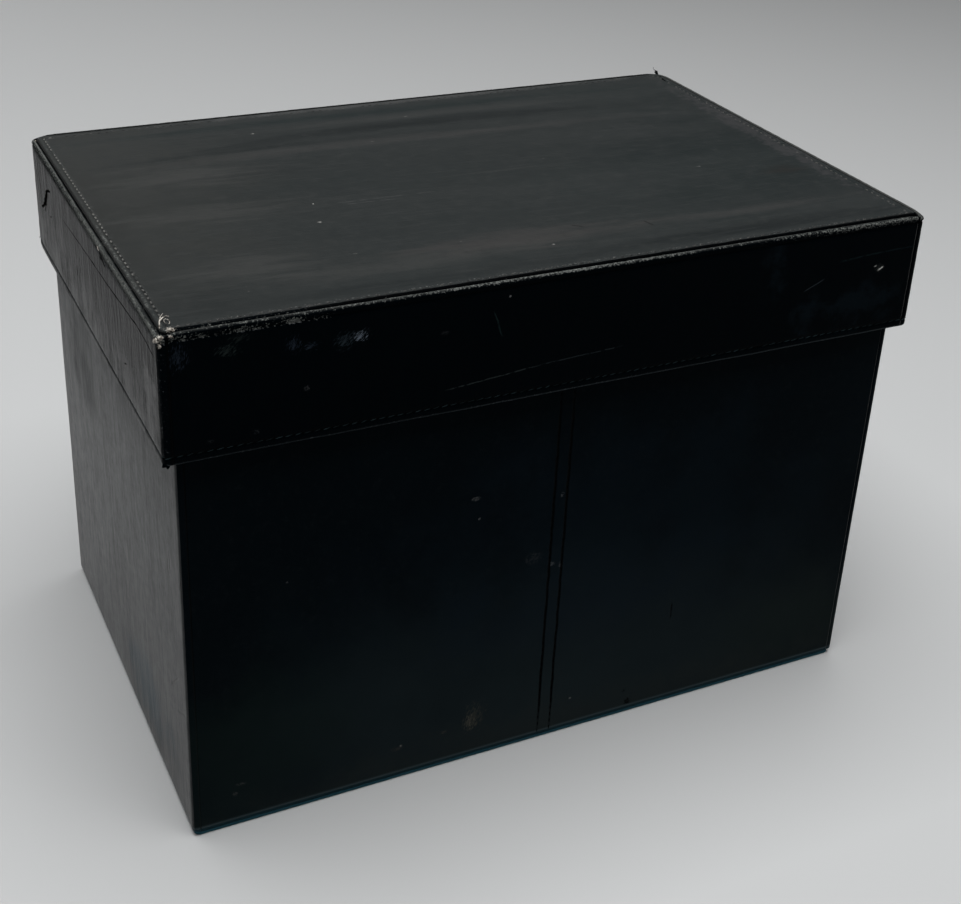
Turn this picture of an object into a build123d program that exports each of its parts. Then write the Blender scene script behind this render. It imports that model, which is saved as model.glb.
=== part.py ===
from build123d import *
import os

# Leather-covered stationery box with a deep lift-off lid.
# Millimetres. The origin is the centre of the underside, +X runs along the length,
# -Y is the front and +Z is up. Each half is boards with leather glued over the outside,
# turned round the edges of the boards, and a lining inside.

os.makedirs("parts", exist_ok=True)

# ---------------------------------------------------------------- driving dimensions

# Box, measured over its leather
box_length = 348.0
box_depth = 224.0
box_height = 247.0
box_corner_radius = 2.2

# Sheet materials
wall_board = 3.0
base_board_sheet = 3.0
lid_board = 2.4
leather = 1.4
turned_leather = 0.8
top_leather_sheet = 1.8
lining = 0.8
base_cover_edge = 2.4

# Leather turned round the boards' edges
rim_hem_height = 15.0
base_hem_width = 12.0
lid_hem_height = 12.0
lid_turn_in_width = 12.0
hem_round = 0.7

# Seams
corner_wrap = 4.5
seam_lap = 9.0
seam_bevel = 0.5

# Lid
lid_clearance = 1.4
lid_skirt_height = 57.0
lid_corner_radius = 3.0

# Rolled rim along the top of the lid's bands
bead_width = 2.2
bead_height = 2.2
bead_proud = 0.25
bead_drop = 2.6
bead_round = 1.0
bead_inner_radius = 0.8

# Raised, stitched edge of the lid's top panel
panel_groove = 1.0
panel_corner_radius = 2.0
ridge_width = 2.0
ridge_rise = 0.4
ridge_round = 0.9
ridge_slope = 50.0
stitch_channel_width = 1.1
stitch_channel_depth = 0.3

# Base cover, set in from the leather
base_cover_inset = 0.8
base_cover_corner_radius = 3.0
base_cover_round = 0.5

# ---------------------------------------------------------------- worked-out levels

base_board_low = base_cover_edge + turned_leather
wall_low = base_board_low + base_board_sheet
wall_top = box_height - turned_leather
floor_top = wall_low + lining
rim_hem_low = wall_top - rim_hem_height

lid_ceiling = box_height
lid_board_low = lid_ceiling + lining
lid_board_top = lid_board_low + lid_board
turn_in_top = lid_board_top + turned_leather
panel_top = lid_board_top + top_leather_sheet
bead_top = lid_board_top + bead_height
ridge_top = panel_top + ridge_rise
lid_low = bead_top - lid_skirt_height
lid_board_edge_low = lid_low + turned_leather
lid_hem_top = lid_board_edge_low + lid_hem_height

# ---------------------------------------------------------------- worked-out plan sizes

board_length = box_length - 2 * leather
board_depth = box_depth - 2 * leather
room_length = board_length - 2 * wall_board
room_depth = board_depth - 2 * wall_board
inside_length = room_length - 2 * lining
inside_depth = room_depth - 2 * lining

lid_wall = leather + lid_board + lining
lid_length = box_length + 2 * (lid_clearance + lid_wall)
lid_depth = box_depth + 2 * (lid_clearance + lid_wall)
lid_board_length = lid_length - 2 * leather
lid_board_depth = lid_depth - 2 * leather
lid_room_length = lid_board_length - 2 * lid_board
lid_room_depth = lid_board_depth - 2 * lid_board
lid_inside_length = lid_room_length - 2 * lining
lid_inside_depth = lid_room_depth - 2 * lining

panel_inset = bead_width + panel_groove
panel_length = lid_length - 2 * panel_inset
panel_depth = lid_depth - 2 * panel_inset
turn_in_length = lid_board_length - 2 * lid_turn_in_width
turn_in_depth = lid_board_depth - 2 * lid_turn_in_width

cut_margin = 5.0


# ---------------------------------------------------------------- shared operations


def slab(length, depth, low, high, radius=0.0, taper=0.0, mode=Mode.ADD):
    """Adds or cuts a flat block centred on the Z axis between two levels."""
    with BuildSketch(Plane.XY.offset(low)) as outline:
        if radius > 0:
            RectangleRounded(length, depth, radius)
        else:
            Rectangle(length, depth)
    extrude(outline.sketch, amount=high - low, taper=taper, mode=mode)


def ring(length, depth, width, low, high, mode=Mode.ADD):
    """Adds or cuts a frame of the given width that runs round the Z axis between two levels."""
    with BuildSketch(Plane.XY.offset(low)) as outline:
        Rectangle(length, depth)
        Rectangle(length - 2 * width, depth - 2 * width, mode=Mode.SUBTRACT)
    extrude(outline.sketch, amount=high - low, mode=mode)


def block(x_low, x_high, y_low, y_high, low, high, mode=Mode.ADD):
    """Adds or cuts a block between two corners."""
    with BuildSketch(Plane.XY.offset(low)) as outline:
        with Locations(((x_low + x_high) / 2, (y_low + y_high) / 2)):
            Rectangle(x_high - x_low, y_high - y_low)
    extrude(outline.sketch, amount=high - low, mode=mode)


def left_share(length, depth, reach, low, high):
    """Keeps the left side's share of a skin: its wall, the wraps round both corners, mitred hems."""
    x = -length / 2
    y = -depth / 2
    half = [
        (x - cut_margin, y - cut_margin),
        (x + corner_wrap, y - cut_margin),
        (x + corner_wrap, y + leather),
        (x + leather, y + leather),
        (x + leather + reach, y + leather + reach),
    ]
    other_half = [(px, -py) for px, py in reversed(half)]
    with BuildSketch(Plane.XY.offset(low)) as share:
        with BuildLine():
            Polyline(half + other_half, close=True)
        make_face()
    extrude(share.sketch, amount=high - low, mode=Mode.INTERSECT)


def front_share(length, depth, reach, low, high):
    """Keeps the front's share of a skin: what lies between the two sides' wraps, mitred hems."""
    x = -length / 2
    y = -depth / 2
    half = [
        (x + corner_wrap, y - cut_margin),
        (x + corner_wrap, y + leather),
        (x + leather, y + leather),
        (x + leather + reach, y + leather + reach),
    ]
    other_half = [(-px, py) for px, py in reversed(half)]
    with BuildSketch(Plane.XY.offset(low)) as share:
        with BuildLine():
            Polyline(half + other_half, close=True)
        make_face()
    extrude(share.sketch, amount=high - low, mode=Mode.INTERSECT)


# ---------------------------------------------------------------- box: base and walls

with BuildPart() as base_cover:
    slab(
        box_length - 2 * base_cover_inset,
        box_depth - 2 * base_cover_inset,
        0,
        base_cover_edge,
        base_cover_corner_radius,
    )
    fillet(base_cover.edges().group_by(Axis.Z)[0], base_cover_round)
    slab(
        board_length - 2 * base_hem_width,
        board_depth - 2 * base_hem_width,
        base_cover_edge,
        base_board_low,
    )
base_cover.part.label = "base_cover"
export_step(base_cover.part, "parts/base_cover.step")

with BuildPart() as base_board:
    slab(board_length, board_depth, base_board_low, wall_low)
base_board.part.label = "base_board"
export_step(base_board.part, "parts/base_board.step")

with BuildPart() as front_board:
    block(-board_length / 2, board_length / 2, -board_depth / 2, -room_depth / 2, wall_low, wall_top)
front_board.part.label = "front_board"
export_step(front_board.part, "parts/front_board.step")

with BuildPart() as back_board:
    mirror(front_board.part, about=Plane.XZ)
back_board.part.label = "back_board"
export_step(back_board.part, "parts/back_board.step")

with BuildPart() as left_board:
    block(-board_length / 2, -room_length / 2, -room_depth / 2, room_depth / 2, wall_low, wall_top)
left_board.part.label = "left_board"
export_step(left_board.part, "parts/left_board.step")

with BuildPart() as right_board:
    mirror(left_board.part, about=Plane.YZ)
right_board.part.label = "right_board"
export_step(right_board.part, "parts/right_board.step")

# ---------------------------------------------------------------- box: leather

# The whole skin in one: it wraps the boards, turns over the rim and turns under the base.
with BuildPart() as box_skin:
    slab(box_length, box_depth, base_cover_edge, box_height, box_corner_radius)
    fillet(box_skin.edges().group_by(Axis.Z)[0], hem_round)
    slab(board_length, board_depth, base_board_low, wall_top, mode=Mode.SUBTRACT)
    slab(
        board_length - 2 * base_hem_width,
        board_depth - 2 * base_hem_width,
        base_cover_edge,
        base_board_low,
        mode=Mode.SUBTRACT,
    )
    ring(room_length, room_depth, turned_leather, rim_hem_low, wall_top)
    slab(
        room_length - 2 * turned_leather,
        room_depth - 2 * turned_leather,
        wall_top,
        box_height,
        mode=Mode.SUBTRACT,
    )
    fillet(box_skin.edges().group_by(Axis.Z)[-1], hem_round)

skin_reach = max(base_hem_width, wall_board + turned_leather) + cut_margin

with BuildPart() as left_leather:
    add(box_skin.part)
    left_share(box_length, box_depth, skin_reach, 0, box_height)
left_leather.part.label = "left_leather"
export_step(left_leather.part, "parts/left_leather.step")

with BuildPart() as right_leather:
    mirror(left_leather.part, about=Plane.YZ)
right_leather.part.label = "right_leather"
export_step(right_leather.part, "parts/right_leather.step")

with BuildPart() as front_skin:
    add(box_skin.part)
    front_share(box_length, box_depth, skin_reach, 0, box_height)

# The left panel's edge is pared to half its thickness, and the right panel's lap lies over it.
lap_low = -seam_lap / 2
lap_high = seam_lap / 2
front_face = -box_depth / 2
lap_under = front_face + leather / 2
front_reach = front_face + leather + skin_reach

with BuildPart() as front_leather_left:
    add(front_skin.part)
    block(
        lap_low, box_length / 2, front_face, front_reach, base_cover_edge, box_height, mode=Mode.SUBTRACT
    )
    block(lap_low, lap_high, lap_under, front_face + leather, base_board_low, wall_top)
front_leather_left.part.label = "front_leather_left"
export_step(front_leather_left.part, "parts/front_leather_left.step")

with BuildPart() as front_leather_right:
    add(front_skin.part)
    block(
        -box_length / 2, lap_low, front_face, front_reach, base_cover_edge, box_height, mode=Mode.SUBTRACT
    )
    block(
        lap_low,
        lap_high,
        lap_under,
        front_face + leather,
        base_board_low,
        wall_top,
        mode=Mode.SUBTRACT,
    )
    lap_edges = front_leather_right.edges().filter_by(Axis.Z).group_by(Axis.X)[0]
    chamfer(lap_edges.sort_by(Axis.Y)[0], seam_bevel)
front_leather_right.part.label = "front_leather_right"
export_step(front_leather_right.part, "parts/front_leather_right.step")

with BuildPart() as back_leather_left:
    mirror(front_leather_left.part, about=Plane.XZ)
back_leather_left.part.label = "back_leather_left"
export_step(back_leather_left.part, "parts/back_leather_left.step")

with BuildPart() as back_leather_right:
    mirror(front_leather_right.part, about=Plane.XZ)
back_leather_right.part.label = "back_leather_right"
export_step(back_leather_right.part, "parts/back_leather_right.step")

# ---------------------------------------------------------------- box: lining

with BuildPart() as floor_lining:
    slab(room_length, room_depth, wall_low, floor_top)
floor_lining.part.label = "floor_lining"
export_step(floor_lining.part, "parts/floor_lining.step")

with BuildPart() as front_lining:
    block(-room_length / 2, room_length / 2, -room_depth / 2, -inside_depth / 2, floor_top, rim_hem_low)
front_lining.part.label = "front_lining"
export_step(front_lining.part, "parts/front_lining.step")

with BuildPart() as back_lining:
    mirror(front_lining.part, about=Plane.XZ)
back_lining.part.label = "back_lining"
export_step(back_lining.part, "parts/back_lining.step")

with BuildPart() as left_lining:
    block(-room_length / 2, -inside_length / 2, -inside_depth / 2, inside_depth / 2, floor_top, rim_hem_low)
left_lining.part.label = "left_lining"
export_step(left_lining.part, "parts/left_lining.step")

with BuildPart() as right_lining:
    mirror(left_lining.part, about=Plane.YZ)
right_lining.part.label = "right_lining"
export_step(right_lining.part, "parts/right_lining.step")

# ---------------------------------------------------------------- lid: boards

with BuildPart() as lid_top_board:
    slab(lid_board_length, lid_board_depth, lid_board_low, lid_board_top)
lid_top_board.part.label = "lid_top_board"
export_step(lid_top_board.part, "parts/lid_top_board.step")

with BuildPart() as lid_front_board:
    block(
        -lid_board_length / 2,
        lid_board_length / 2,
        -lid_board_depth / 2,
        -lid_room_depth / 2,
        lid_board_edge_low,
        lid_board_low,
    )
lid_front_board.part.label = "lid_front_board"
export_step(lid_front_board.part, "parts/lid_front_board.step")

with BuildPart() as lid_back_board:
    mirror(lid_front_board.part, about=Plane.XZ)
lid_back_board.part.label = "lid_back_board"
export_step(lid_back_board.part, "parts/lid_back_board.step")

with BuildPart() as lid_left_board:
    block(
        -lid_board_length / 2,
        -lid_room_length / 2,
        -lid_room_depth / 2,
        lid_room_depth / 2,
        lid_board_edge_low,
        lid_board_low,
    )
lid_left_board.part.label = "lid_left_board"
export_step(lid_left_board.part, "parts/lid_left_board.step")

with BuildPart() as lid_right_board:
    mirror(lid_left_board.part, about=Plane.YZ)
lid_right_board.part.label = "lid_right_board"
export_step(lid_right_board.part, "parts/lid_right_board.step")

# ---------------------------------------------------------------- lid: leather

# The rolled rim along the top of the bands, standing a little proud of them.
with BuildPart() as bead:
    slab(
        lid_length + 2 * bead_proud,
        lid_depth + 2 * bead_proud,
        lid_board_top - bead_drop,
        bead_top,
        lid_corner_radius + bead_proud,
    )
    chamfer(bead.edges().group_by(Axis.Z)[0], bead_proud)
    slab(
        lid_length - 2 * bead_width,
        lid_depth - 2 * bead_width,
        lid_board_top,
        bead_top,
        bead_inner_radius,
        mode=Mode.SUBTRACT,
    )
    fillet(bead.edges().group_by(Axis.Z)[-1], bead_round)
    slab(
        lid_board_length,
        lid_board_depth,
        lid_board_top - bead_drop,
        lid_board_top,
        mode=Mode.SUBTRACT,
    )

# The whole lid skin in one: the rolled rim, the turn-in over the top board and the lower hem.
with BuildPart() as lid_skin:
    slab(lid_length, lid_depth, lid_low, turn_in_top, lid_corner_radius)
    fillet(lid_skin.edges().group_by(Axis.Z)[0], hem_round)
    slab(lid_board_length, lid_board_depth, lid_board_edge_low, lid_board_top, mode=Mode.SUBTRACT)
    slab(turn_in_length, turn_in_depth, lid_board_top, turn_in_top, mode=Mode.SUBTRACT)
    slab(
        lid_room_length - 2 * turned_leather,
        lid_room_depth - 2 * turned_leather,
        lid_low,
        lid_board_edge_low,
        mode=Mode.SUBTRACT,
    )
    ring(lid_room_length, lid_room_depth, turned_leather, lid_board_edge_low, lid_hem_top)
    add(bead.part)

band_reach = max(lid_turn_in_width, lid_board + turned_leather) + cut_margin

with BuildPart() as lid_left_band:
    add(lid_skin.part)
    left_share(lid_length, lid_depth, band_reach, lid_low, bead_top)
lid_left_band.part.label = "lid_left_band"
export_step(lid_left_band.part, "parts/lid_left_band.step")

with BuildPart() as lid_right_band:
    mirror(lid_left_band.part, about=Plane.YZ)
lid_right_band.part.label = "lid_right_band"
export_step(lid_right_band.part, "parts/lid_right_band.step")

with BuildPart() as lid_front_band:
    add(lid_skin.part)
    front_share(lid_length, lid_depth, band_reach, lid_low, bead_top)
lid_front_band.part.label = "lid_front_band"
export_step(lid_front_band.part, "parts/lid_front_band.step")

with BuildPart() as lid_back_band:
    mirror(lid_front_band.part, about=Plane.XZ)
lid_back_band.part.label = "lid_back_band"
export_step(lid_back_band.part, "parts/lid_back_band.step")

# The top panel lies over the turn-in, and its edge is a ridge outside a stitched channel.
with BuildPart() as lid_top_leather:
    slab(panel_length, panel_depth, turn_in_top, ridge_top, panel_corner_radius)
    fillet(lid_top_leather.edges().group_by(Axis.Z)[-1], ridge_round)
    slab(
        panel_length - 2 * ridge_width,
        panel_depth - 2 * ridge_width,
        panel_top,
        ridge_top,
        taper=-ridge_slope,
        mode=Mode.SUBTRACT,
    )
    ring(
        panel_length - 2 * ridge_width,
        panel_depth - 2 * ridge_width,
        stitch_channel_width,
        panel_top - stitch_channel_depth,
        panel_top,
        mode=Mode.SUBTRACT,
    )
    slab(turn_in_length, turn_in_depth, lid_board_top, turn_in_top)
lid_top_leather.part.label = "lid_top_leather"
export_step(lid_top_leather.part, "parts/lid_top_leather.step")

# ---------------------------------------------------------------- lid: lining

with BuildPart() as lid_top_lining:
    slab(lid_room_length, lid_room_depth, lid_ceiling, lid_board_low)
lid_top_lining.part.label = "lid_top_lining"
export_step(lid_top_lining.part, "parts/lid_top_lining.step")

with BuildPart() as lid_front_lining:
    block(
        -lid_room_length / 2,
        lid_room_length / 2,
        -lid_room_depth / 2,
        -lid_inside_depth / 2,
        lid_hem_top,
        lid_ceiling,
    )
lid_front_lining.part.label = "lid_front_lining"
export_step(lid_front_lining.part, "parts/lid_front_lining.step")

with BuildPart() as lid_back_lining:
    mirror(lid_front_lining.part, about=Plane.XZ)
lid_back_lining.part.label = "lid_back_lining"
export_step(lid_back_lining.part, "parts/lid_back_lining.step")

with BuildPart() as lid_left_lining:
    block(
        -lid_room_length / 2,
        -lid_inside_length / 2,
        -lid_inside_depth / 2,
        lid_inside_depth / 2,
        lid_hem_top,
        lid_ceiling,
    )
lid_left_lining.part.label = "lid_left_lining"
export_step(lid_left_lining.part, "parts/lid_left_lining.step")

with BuildPart() as lid_right_lining:
    mirror(lid_left_lining.part, about=Plane.YZ)
lid_right_lining.part.label = "lid_right_lining"
export_step(lid_right_lining.part, "parts/lid_right_lining.step")
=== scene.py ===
import math
import random

import bmesh
import bpy
from mathutils import Euler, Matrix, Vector, noise


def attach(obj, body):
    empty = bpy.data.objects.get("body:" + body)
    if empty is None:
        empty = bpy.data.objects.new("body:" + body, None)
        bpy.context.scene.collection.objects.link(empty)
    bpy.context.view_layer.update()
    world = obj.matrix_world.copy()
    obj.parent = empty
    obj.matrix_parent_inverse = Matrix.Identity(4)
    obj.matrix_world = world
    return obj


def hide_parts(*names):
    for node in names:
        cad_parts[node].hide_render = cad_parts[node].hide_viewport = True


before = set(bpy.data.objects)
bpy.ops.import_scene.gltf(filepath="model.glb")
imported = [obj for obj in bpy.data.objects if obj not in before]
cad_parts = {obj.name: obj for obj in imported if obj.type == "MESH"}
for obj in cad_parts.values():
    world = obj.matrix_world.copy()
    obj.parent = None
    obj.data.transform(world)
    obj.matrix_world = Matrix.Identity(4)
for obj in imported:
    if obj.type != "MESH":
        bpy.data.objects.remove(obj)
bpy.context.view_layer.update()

# Sizes are in millimetres, as on the bench, and meshes are scaled to metres when they are made.
MM = 0.001
LID_HALF = (180.0, 118.0)
LID_ROUND = 2.8
LID_TOP = 252.4
BODY_HALF = (174.0, 112.0)
BODY_ROUND = 2.2
LID_WRAP = 4.1
BODY_WRAP = 3.4
LAP_HALF = 4.5
BOARD_INSET = 1.4
HEM_INSET = 3.8
HEM_FACE = 4.6
HEM_TOP = 208.2
BOARD_EDGE_LOW = 196.2
BOARD_TOP = 250.2
TURN_IN_REACH = 12.0
PANEL_TOP = 252.0
BASE_INSET = 0.8
BASE_TOP = 2.4

BAND_ROW_HEIGHT = 199.3
BAND_ROW_INSET = 0.26
PANEL_ROW_HEIGHT = 251.92
PANEL_ROW_INSET = 5.75
STITCH_PITCH = 4.0
SEAM_ROWS = (-3.0, 3.5)
SEAM_ROW_ENDS = (5.0, 231.0)
SEAM_SWAY = 0.15
SEAM_SWAY_TURN = 0.37


# ---------------------------------------------------------------- wiring of materials

def feed(tree, node, feeds):
    """Joins what feeds a node to its sockets: numbers, vectors or other nodes' outputs."""
    for socket, source in feeds.items():
        if isinstance(source, bpy.types.NodeSocket):
            tree.links.new(source, node.inputs[socket])
        else:
            node.inputs[socket].default_value = source


def add(tree, kind, feeds=None, **settings):
    """One node, with its settings and what feeds it."""
    node = tree.nodes.new(kind)
    for name, value in settings.items():
        setattr(node, name, value)
    feed(tree, node, feeds or {})
    return node


def step(tree, operation, first, second=0.0, third=0.0, clamp=False):
    """One step of arithmetic."""
    feeds = {0: first, 1: second, 2: third}
    return add(tree, "ShaderNodeMath", feeds, operation=operation, use_clamp=clamp).outputs[0]


def times(tree, first, second, clamp=False):
    """One number times another."""
    return step(tree, "MULTIPLY", first, second, clamp=clamp)


def plus(tree, first, second):
    """One number added to another."""
    return step(tree, "ADD", first, second)


def less(tree, first, second, clamp=False):
    """The first number less the second."""
    return step(tree, "SUBTRACT", first, second, clamp=clamp)


def turn(tree, operation, first, second=None, scale=None, output="Vector"):
    """One step of arithmetic on vectors."""
    feeds = {0: first}
    if second is not None:
        feeds[1] = second
    if scale is not None:
        feeds["Scale"] = scale
    return add(tree, "ShaderNodeVectorMath", feeds, operation=operation).outputs[output]


def measure(tree, operation, first, second=None):
    """A number worked out from vectors."""
    return turn(tree, operation, first, second, output="Value")


def parts(tree, whole):
    """The x, y and z of a vector."""
    return add(tree, "ShaderNodeSeparateXYZ", {0: whole}).outputs


def vector(tree, x=0.0, y=0.0, z=0.0):
    """A vector from its x, y and z."""
    return add(tree, "ShaderNodeCombineXYZ", {0: x, 1: y, 2: z}).outputs[0]


def ramp(tree, value, low, high, bottom=0.0, top=1.0):
    """A soft step from bottom, at low, to top, at high."""
    feeds = {"Value": value, "From Min": low, "From Max": high, "To Min": bottom, "To Max": top}
    return add(tree, "ShaderNodeMapRange", feeds, interpolation_type="SMOOTHSTEP").outputs["Result"]


def mixed(tree, under, over, mask):
    """One colour laid over another where the mask is."""
    under, over = (v if isinstance(v, bpy.types.NodeSocket) else (*v, 1) for v in (under, over))
    return add(tree, "ShaderNodeMix", {0: mask, 6: under, 7: over}, data_type="RGBA").outputs[2]


def cloud(tree, place, scale, detail=2.0, rough=0.5):
    """Plain noise from 0 to 1."""
    feeds = {"Vector": place, "Scale": scale, "Detail": detail, "Roughness": rough}
    return add(tree, "ShaderNodeTexNoise", feeds).outputs["Fac"]


def new_group(name, inputs, outputs):
    """A shader group with named sockets; gives its tree, its inputs and the sockets of its output."""
    tree = bpy.data.node_groups.new(name, "ShaderNodeTree")
    for label, start in inputs.items():
        kind = "NodeSocketFloat" if isinstance(start, float) else "NodeSocketVector"
        socket = tree.interface.new_socket(label, in_out="INPUT", socket_type=kind)
        socket.default_value = start
    for label in outputs:
        tree.interface.new_socket(label, in_out="OUTPUT", socket_type="NodeSocketFloat")
    given = tree.nodes.new("NodeGroupInput").outputs
    out = tree.nodes.new("NodeGroupOutput").inputs
    return tree, given, out


def use(tree, group, feeds):
    """A group placed in a material."""
    node = tree.nodes.new("ShaderNodeGroup")
    node.node_tree = group
    feed(tree, node, feeds)
    return node.outputs


def grain_group():
    """Fine pebbled grain of smooth leather, with pores: relief in millimetres, and a tone."""
    tree, given, out = new_group("leather grain", {"Place": (0, 0, 0), "Pebbles per metre": 1100.0,
                                                   "Pebble relief": 0.02, "Crease relief": 0.05},
                                 ["Relief", "Tone"])
    warp = add(tree, "ShaderNodeTexNoise", {"Vector": given["Place"], "Scale": 300.0}).outputs["Color"]
    bent = turn(tree, "ADD", given["Place"], turn(tree, "SCALE", warp, scale=0.0012))
    cell = add(tree, "ShaderNodeTexVoronoi", {"Vector": bent, "Scale": given["Pebbles per metre"]},
               feature="DISTANCE_TO_EDGE").outputs["Distance"]
    pebble = ramp(tree, cell, 0.0, 0.25)
    crease = cloud(tree, bent, 140.0, 5.0, 0.6)
    low = times(tree, pebble, given["Pebble relief"])
    high = times(tree, crease, given["Crease relief"])
    tree.links.new(plus(tree, low, high), out["Relief"])
    tree.links.new(times(tree, pebble, crease), out["Tone"])
    return tree


def streak_group():
    """Long soft streaks, as a cloth or a shelf leaves: a mask from 0 to 1."""
    tree, given, out = new_group("rub streaks", {"Place": (0, 0, 0), "Stretch": (4.0, 60.0, 60.0),
                                                 "Low": 0.4, "High": 0.7, "Bend": 0.01}, ["Mask"])
    sway = add(tree, "ShaderNodeTexNoise", {"Vector": given["Place"], "Scale": 6.0}).outputs["Color"]
    bent = turn(tree, "ADD", given["Place"], turn(tree, "SCALE", sway, scale=given["Bend"]))
    long = turn(tree, "MULTIPLY", bent, given["Stretch"])
    tree.links.new(ramp(tree, cloud(tree, long, 1.0, 5.0, 0.55), given["Low"], given["High"]), out["Mask"])
    return tree


def line_group():
    """One scratch or crease between two points: a mask that is broken, wavers and fades to its ends."""
    tree, given, out = new_group("line mark", {"Place": (0, 0, 0), "From": (0, 0, 0), "To": (0, 0, 1),
                                               "Width": 0.0004, "Waver": 0.0006, "Breaks": 0.3}, ["Mask"])
    shake = add(tree, "ShaderNodeTexNoise", {"Vector": given["Place"], "Scale": 160.0}).outputs["Color"]
    shake = turn(tree, "SUBTRACT", shake, (0.5, 0.5, 0.5))
    shaken = turn(tree, "ADD", given["Place"], turn(tree, "SCALE", shake, scale=given["Waver"]))
    run = turn(tree, "SUBTRACT", given["To"], given["From"])
    off = turn(tree, "SUBTRACT", shaken, given["From"])
    along = step(tree, "DIVIDE", measure(tree, "DOT_PRODUCT", off, run),
                 measure(tree, "DOT_PRODUCT", run, run), clamp=True)
    foot = turn(tree, "SCALE", run, scale=along)
    apart = measure(tree, "DISTANCE", off, foot)
    body = less(tree, 1.0, ramp(tree, step(tree, "DIVIDE", apart, given["Width"]), 0.3, 1.0))
    ends = ramp(tree, step(tree, "PINGPONG", along, 0.5), 0.0, 0.12, 0.25, 1.0)
    gaps = ramp(tree, cloud(tree, given["Place"], 420.0), given["Breaks"], plus(tree, given["Breaks"], 0.2))
    tree.links.new(times(tree, times(tree, body, ends), gaps), out["Mask"])
    return tree


def patch_group():
    """One scuffed place with a ragged rim: a mask."""
    tree, given, out = new_group("scuff patch", {"Place": (0, 0, 0), "Centre": (0, 0, 0),
                                                 "Reach": (0.01, 0.01, 0.01), "Ragged": 0.8,
                                                 "Grit": 500.0}, ["Mask"])
    off = turn(tree, "SUBTRACT", given["Place"], given["Centre"])
    far = measure(tree, "LENGTH", turn(tree, "DIVIDE", off, given["Reach"]))
    grit = cloud(tree, given["Place"], given["Grit"], 4.0, 0.7)
    torn = step(tree, "MULTIPLY_ADD", less(tree, grit, 0.5), times(tree, given["Ragged"], 4.0),
                less(tree, 1.0, far))
    fade = less(tree, 1.0, ramp(tree, far, 0.5, 1.25))
    tree.links.new(times(tree, ramp(tree, torn, 0.1, 0.9), fade), out["Mask"])
    return tree


def wipe_group():
    """One long soft wipe of a hand or a cloth across the top, bowed along its length: a mask."""
    tree, given, out = new_group("wipe", {"Place": (0, 0, 0), "Centre": (0, 0, 0), "Half": (0.1, 0.01, 1.0),
                                          "Bow": 0.0, "Ragged": 0.6}, ["Mask"])
    off = turn(tree, "SUBTRACT", given["Place"], given["Centre"])
    part = parts(tree, off)
    sag = times(tree, times(tree, part[0], part[0]), given["Bow"])
    level = plus(tree, part[1], sag)
    bowed = vector(tree, part[0], level, part[2])
    far = measure(tree, "LENGTH", turn(tree, "DIVIDE", bowed, given["Half"]))
    long = turn(tree, "MULTIPLY", bowed, (22.0, 170.0, 60.0))
    fibres = less(tree, cloud(tree, long, 1.0, 4.0, 0.6), 0.5)
    torn = step(tree, "MULTIPLY_ADD", fibres, times(tree, given["Ragged"], 2.5), less(tree, 1.0, far))
    tree.links.new(ramp(tree, torn, 0.0, 0.9), out["Mask"])
    return tree


def scuff_group():
    """A scuff made of fine parallel ticks: a mask. The slope turns the ticks up from level."""
    tree, given, out = new_group("scuff of ticks", {"Place": (0, 0, 0), "Centre": (0, 0, 0),
                                                    "Reach": (0.01, 0.01, 0.01), "Slope": 0.5,
                                                    "Fine": 1.0}, ["Mask"])
    off = turn(tree, "SUBTRACT", given["Place"], given["Centre"])
    far = measure(tree, "LENGTH", turn(tree, "DIVIDE", off, given["Reach"]))
    leant = add(tree, "ShaderNodeVectorRotate", {0: off, "Angle": given["Slope"]},
                rotation_type="Y_AXIS").outputs[0]
    drawn = turn(tree, "SCALE", turn(tree, "MULTIPLY", leant, (200.0, 200.0, 1150.0)), scale=given["Fine"])
    ticks = cloud(tree, drawn, 1.0, 3.0, 0.6)
    here = step(tree, "MULTIPLY_ADD", less(tree, 1.0, far), 0.22, ticks)
    shown = ramp(tree, here, 0.60, 0.74)
    fade = less(tree, 1.0, ramp(tree, far, 0.6, 1.3))
    tree.links.new(times(tree, shown, fade), out["Mask"])
    return tree


def speck_group():
    """Scattered flecks of lint and dust: a mask."""
    tree, given, out = new_group("specks", {"Place": (0, 0, 0), "Per metre": 60.0, "Size": 0.03,
                                            "Share": 0.2}, ["Mask"])
    cells = add(tree, "ShaderNodeTexVoronoi", {"Vector": given["Place"],
                                               "Scale": given["Per metre"]}).outputs
    tint = add(tree, "ShaderNodeSeparateColor", {0: cells["Color"]}).outputs
    size = times(tree, given["Size"], tint["Green"])
    near = step(tree, "LESS_THAN", cells["Distance"], size)
    kept = step(tree, "LESS_THAN", tint["Red"], given["Share"])
    tree.links.new(times(tree, near, kept), out["Mask"])
    return tree


def edge_group():
    """Wear along the edges of a box from its low corner to its high one: a ragged mask."""
    tree, given, out = new_group("edge rub", {"Place": (0, 0, 0), "Low corner": (0, 0, 0),
                                              "High corner": (1, 1, 1), "Reach": 0.003,
                                              "Ragged": 0.002}, ["Mask"])
    low = turn(tree, "ABSOLUTE", turn(tree, "SUBTRACT", given["Place"], given["Low corner"]))
    high = turn(tree, "ABSOLUTE", turn(tree, "SUBTRACT", given["High corner"], given["Place"]))
    near = turn(tree, "MINIMUM", low, high)
    part = parts(tree, near)
    least = step(tree, "MINIMUM", step(tree, "MINIMUM", part[0], part[1]), part[2])
    most = step(tree, "MAXIMUM", step(tree, "MAXIMUM", part[0], part[1]), part[2])
    total = plus(tree, plus(tree, part[0], part[1]), part[2])
    middle = less(tree, less(tree, total, least), most)
    rough = times(tree, less(tree, cloud(tree, given["Place"], 260.0, 5.0, 0.7), 0.5), given["Ragged"])
    far = step(tree, "DIVIDE", plus(tree, middle, rough), given["Reach"])
    tree.links.new(less(tree, 1.0, ramp(tree, far, 0.2, 1.0)), out["Mask"])
    return tree


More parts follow.
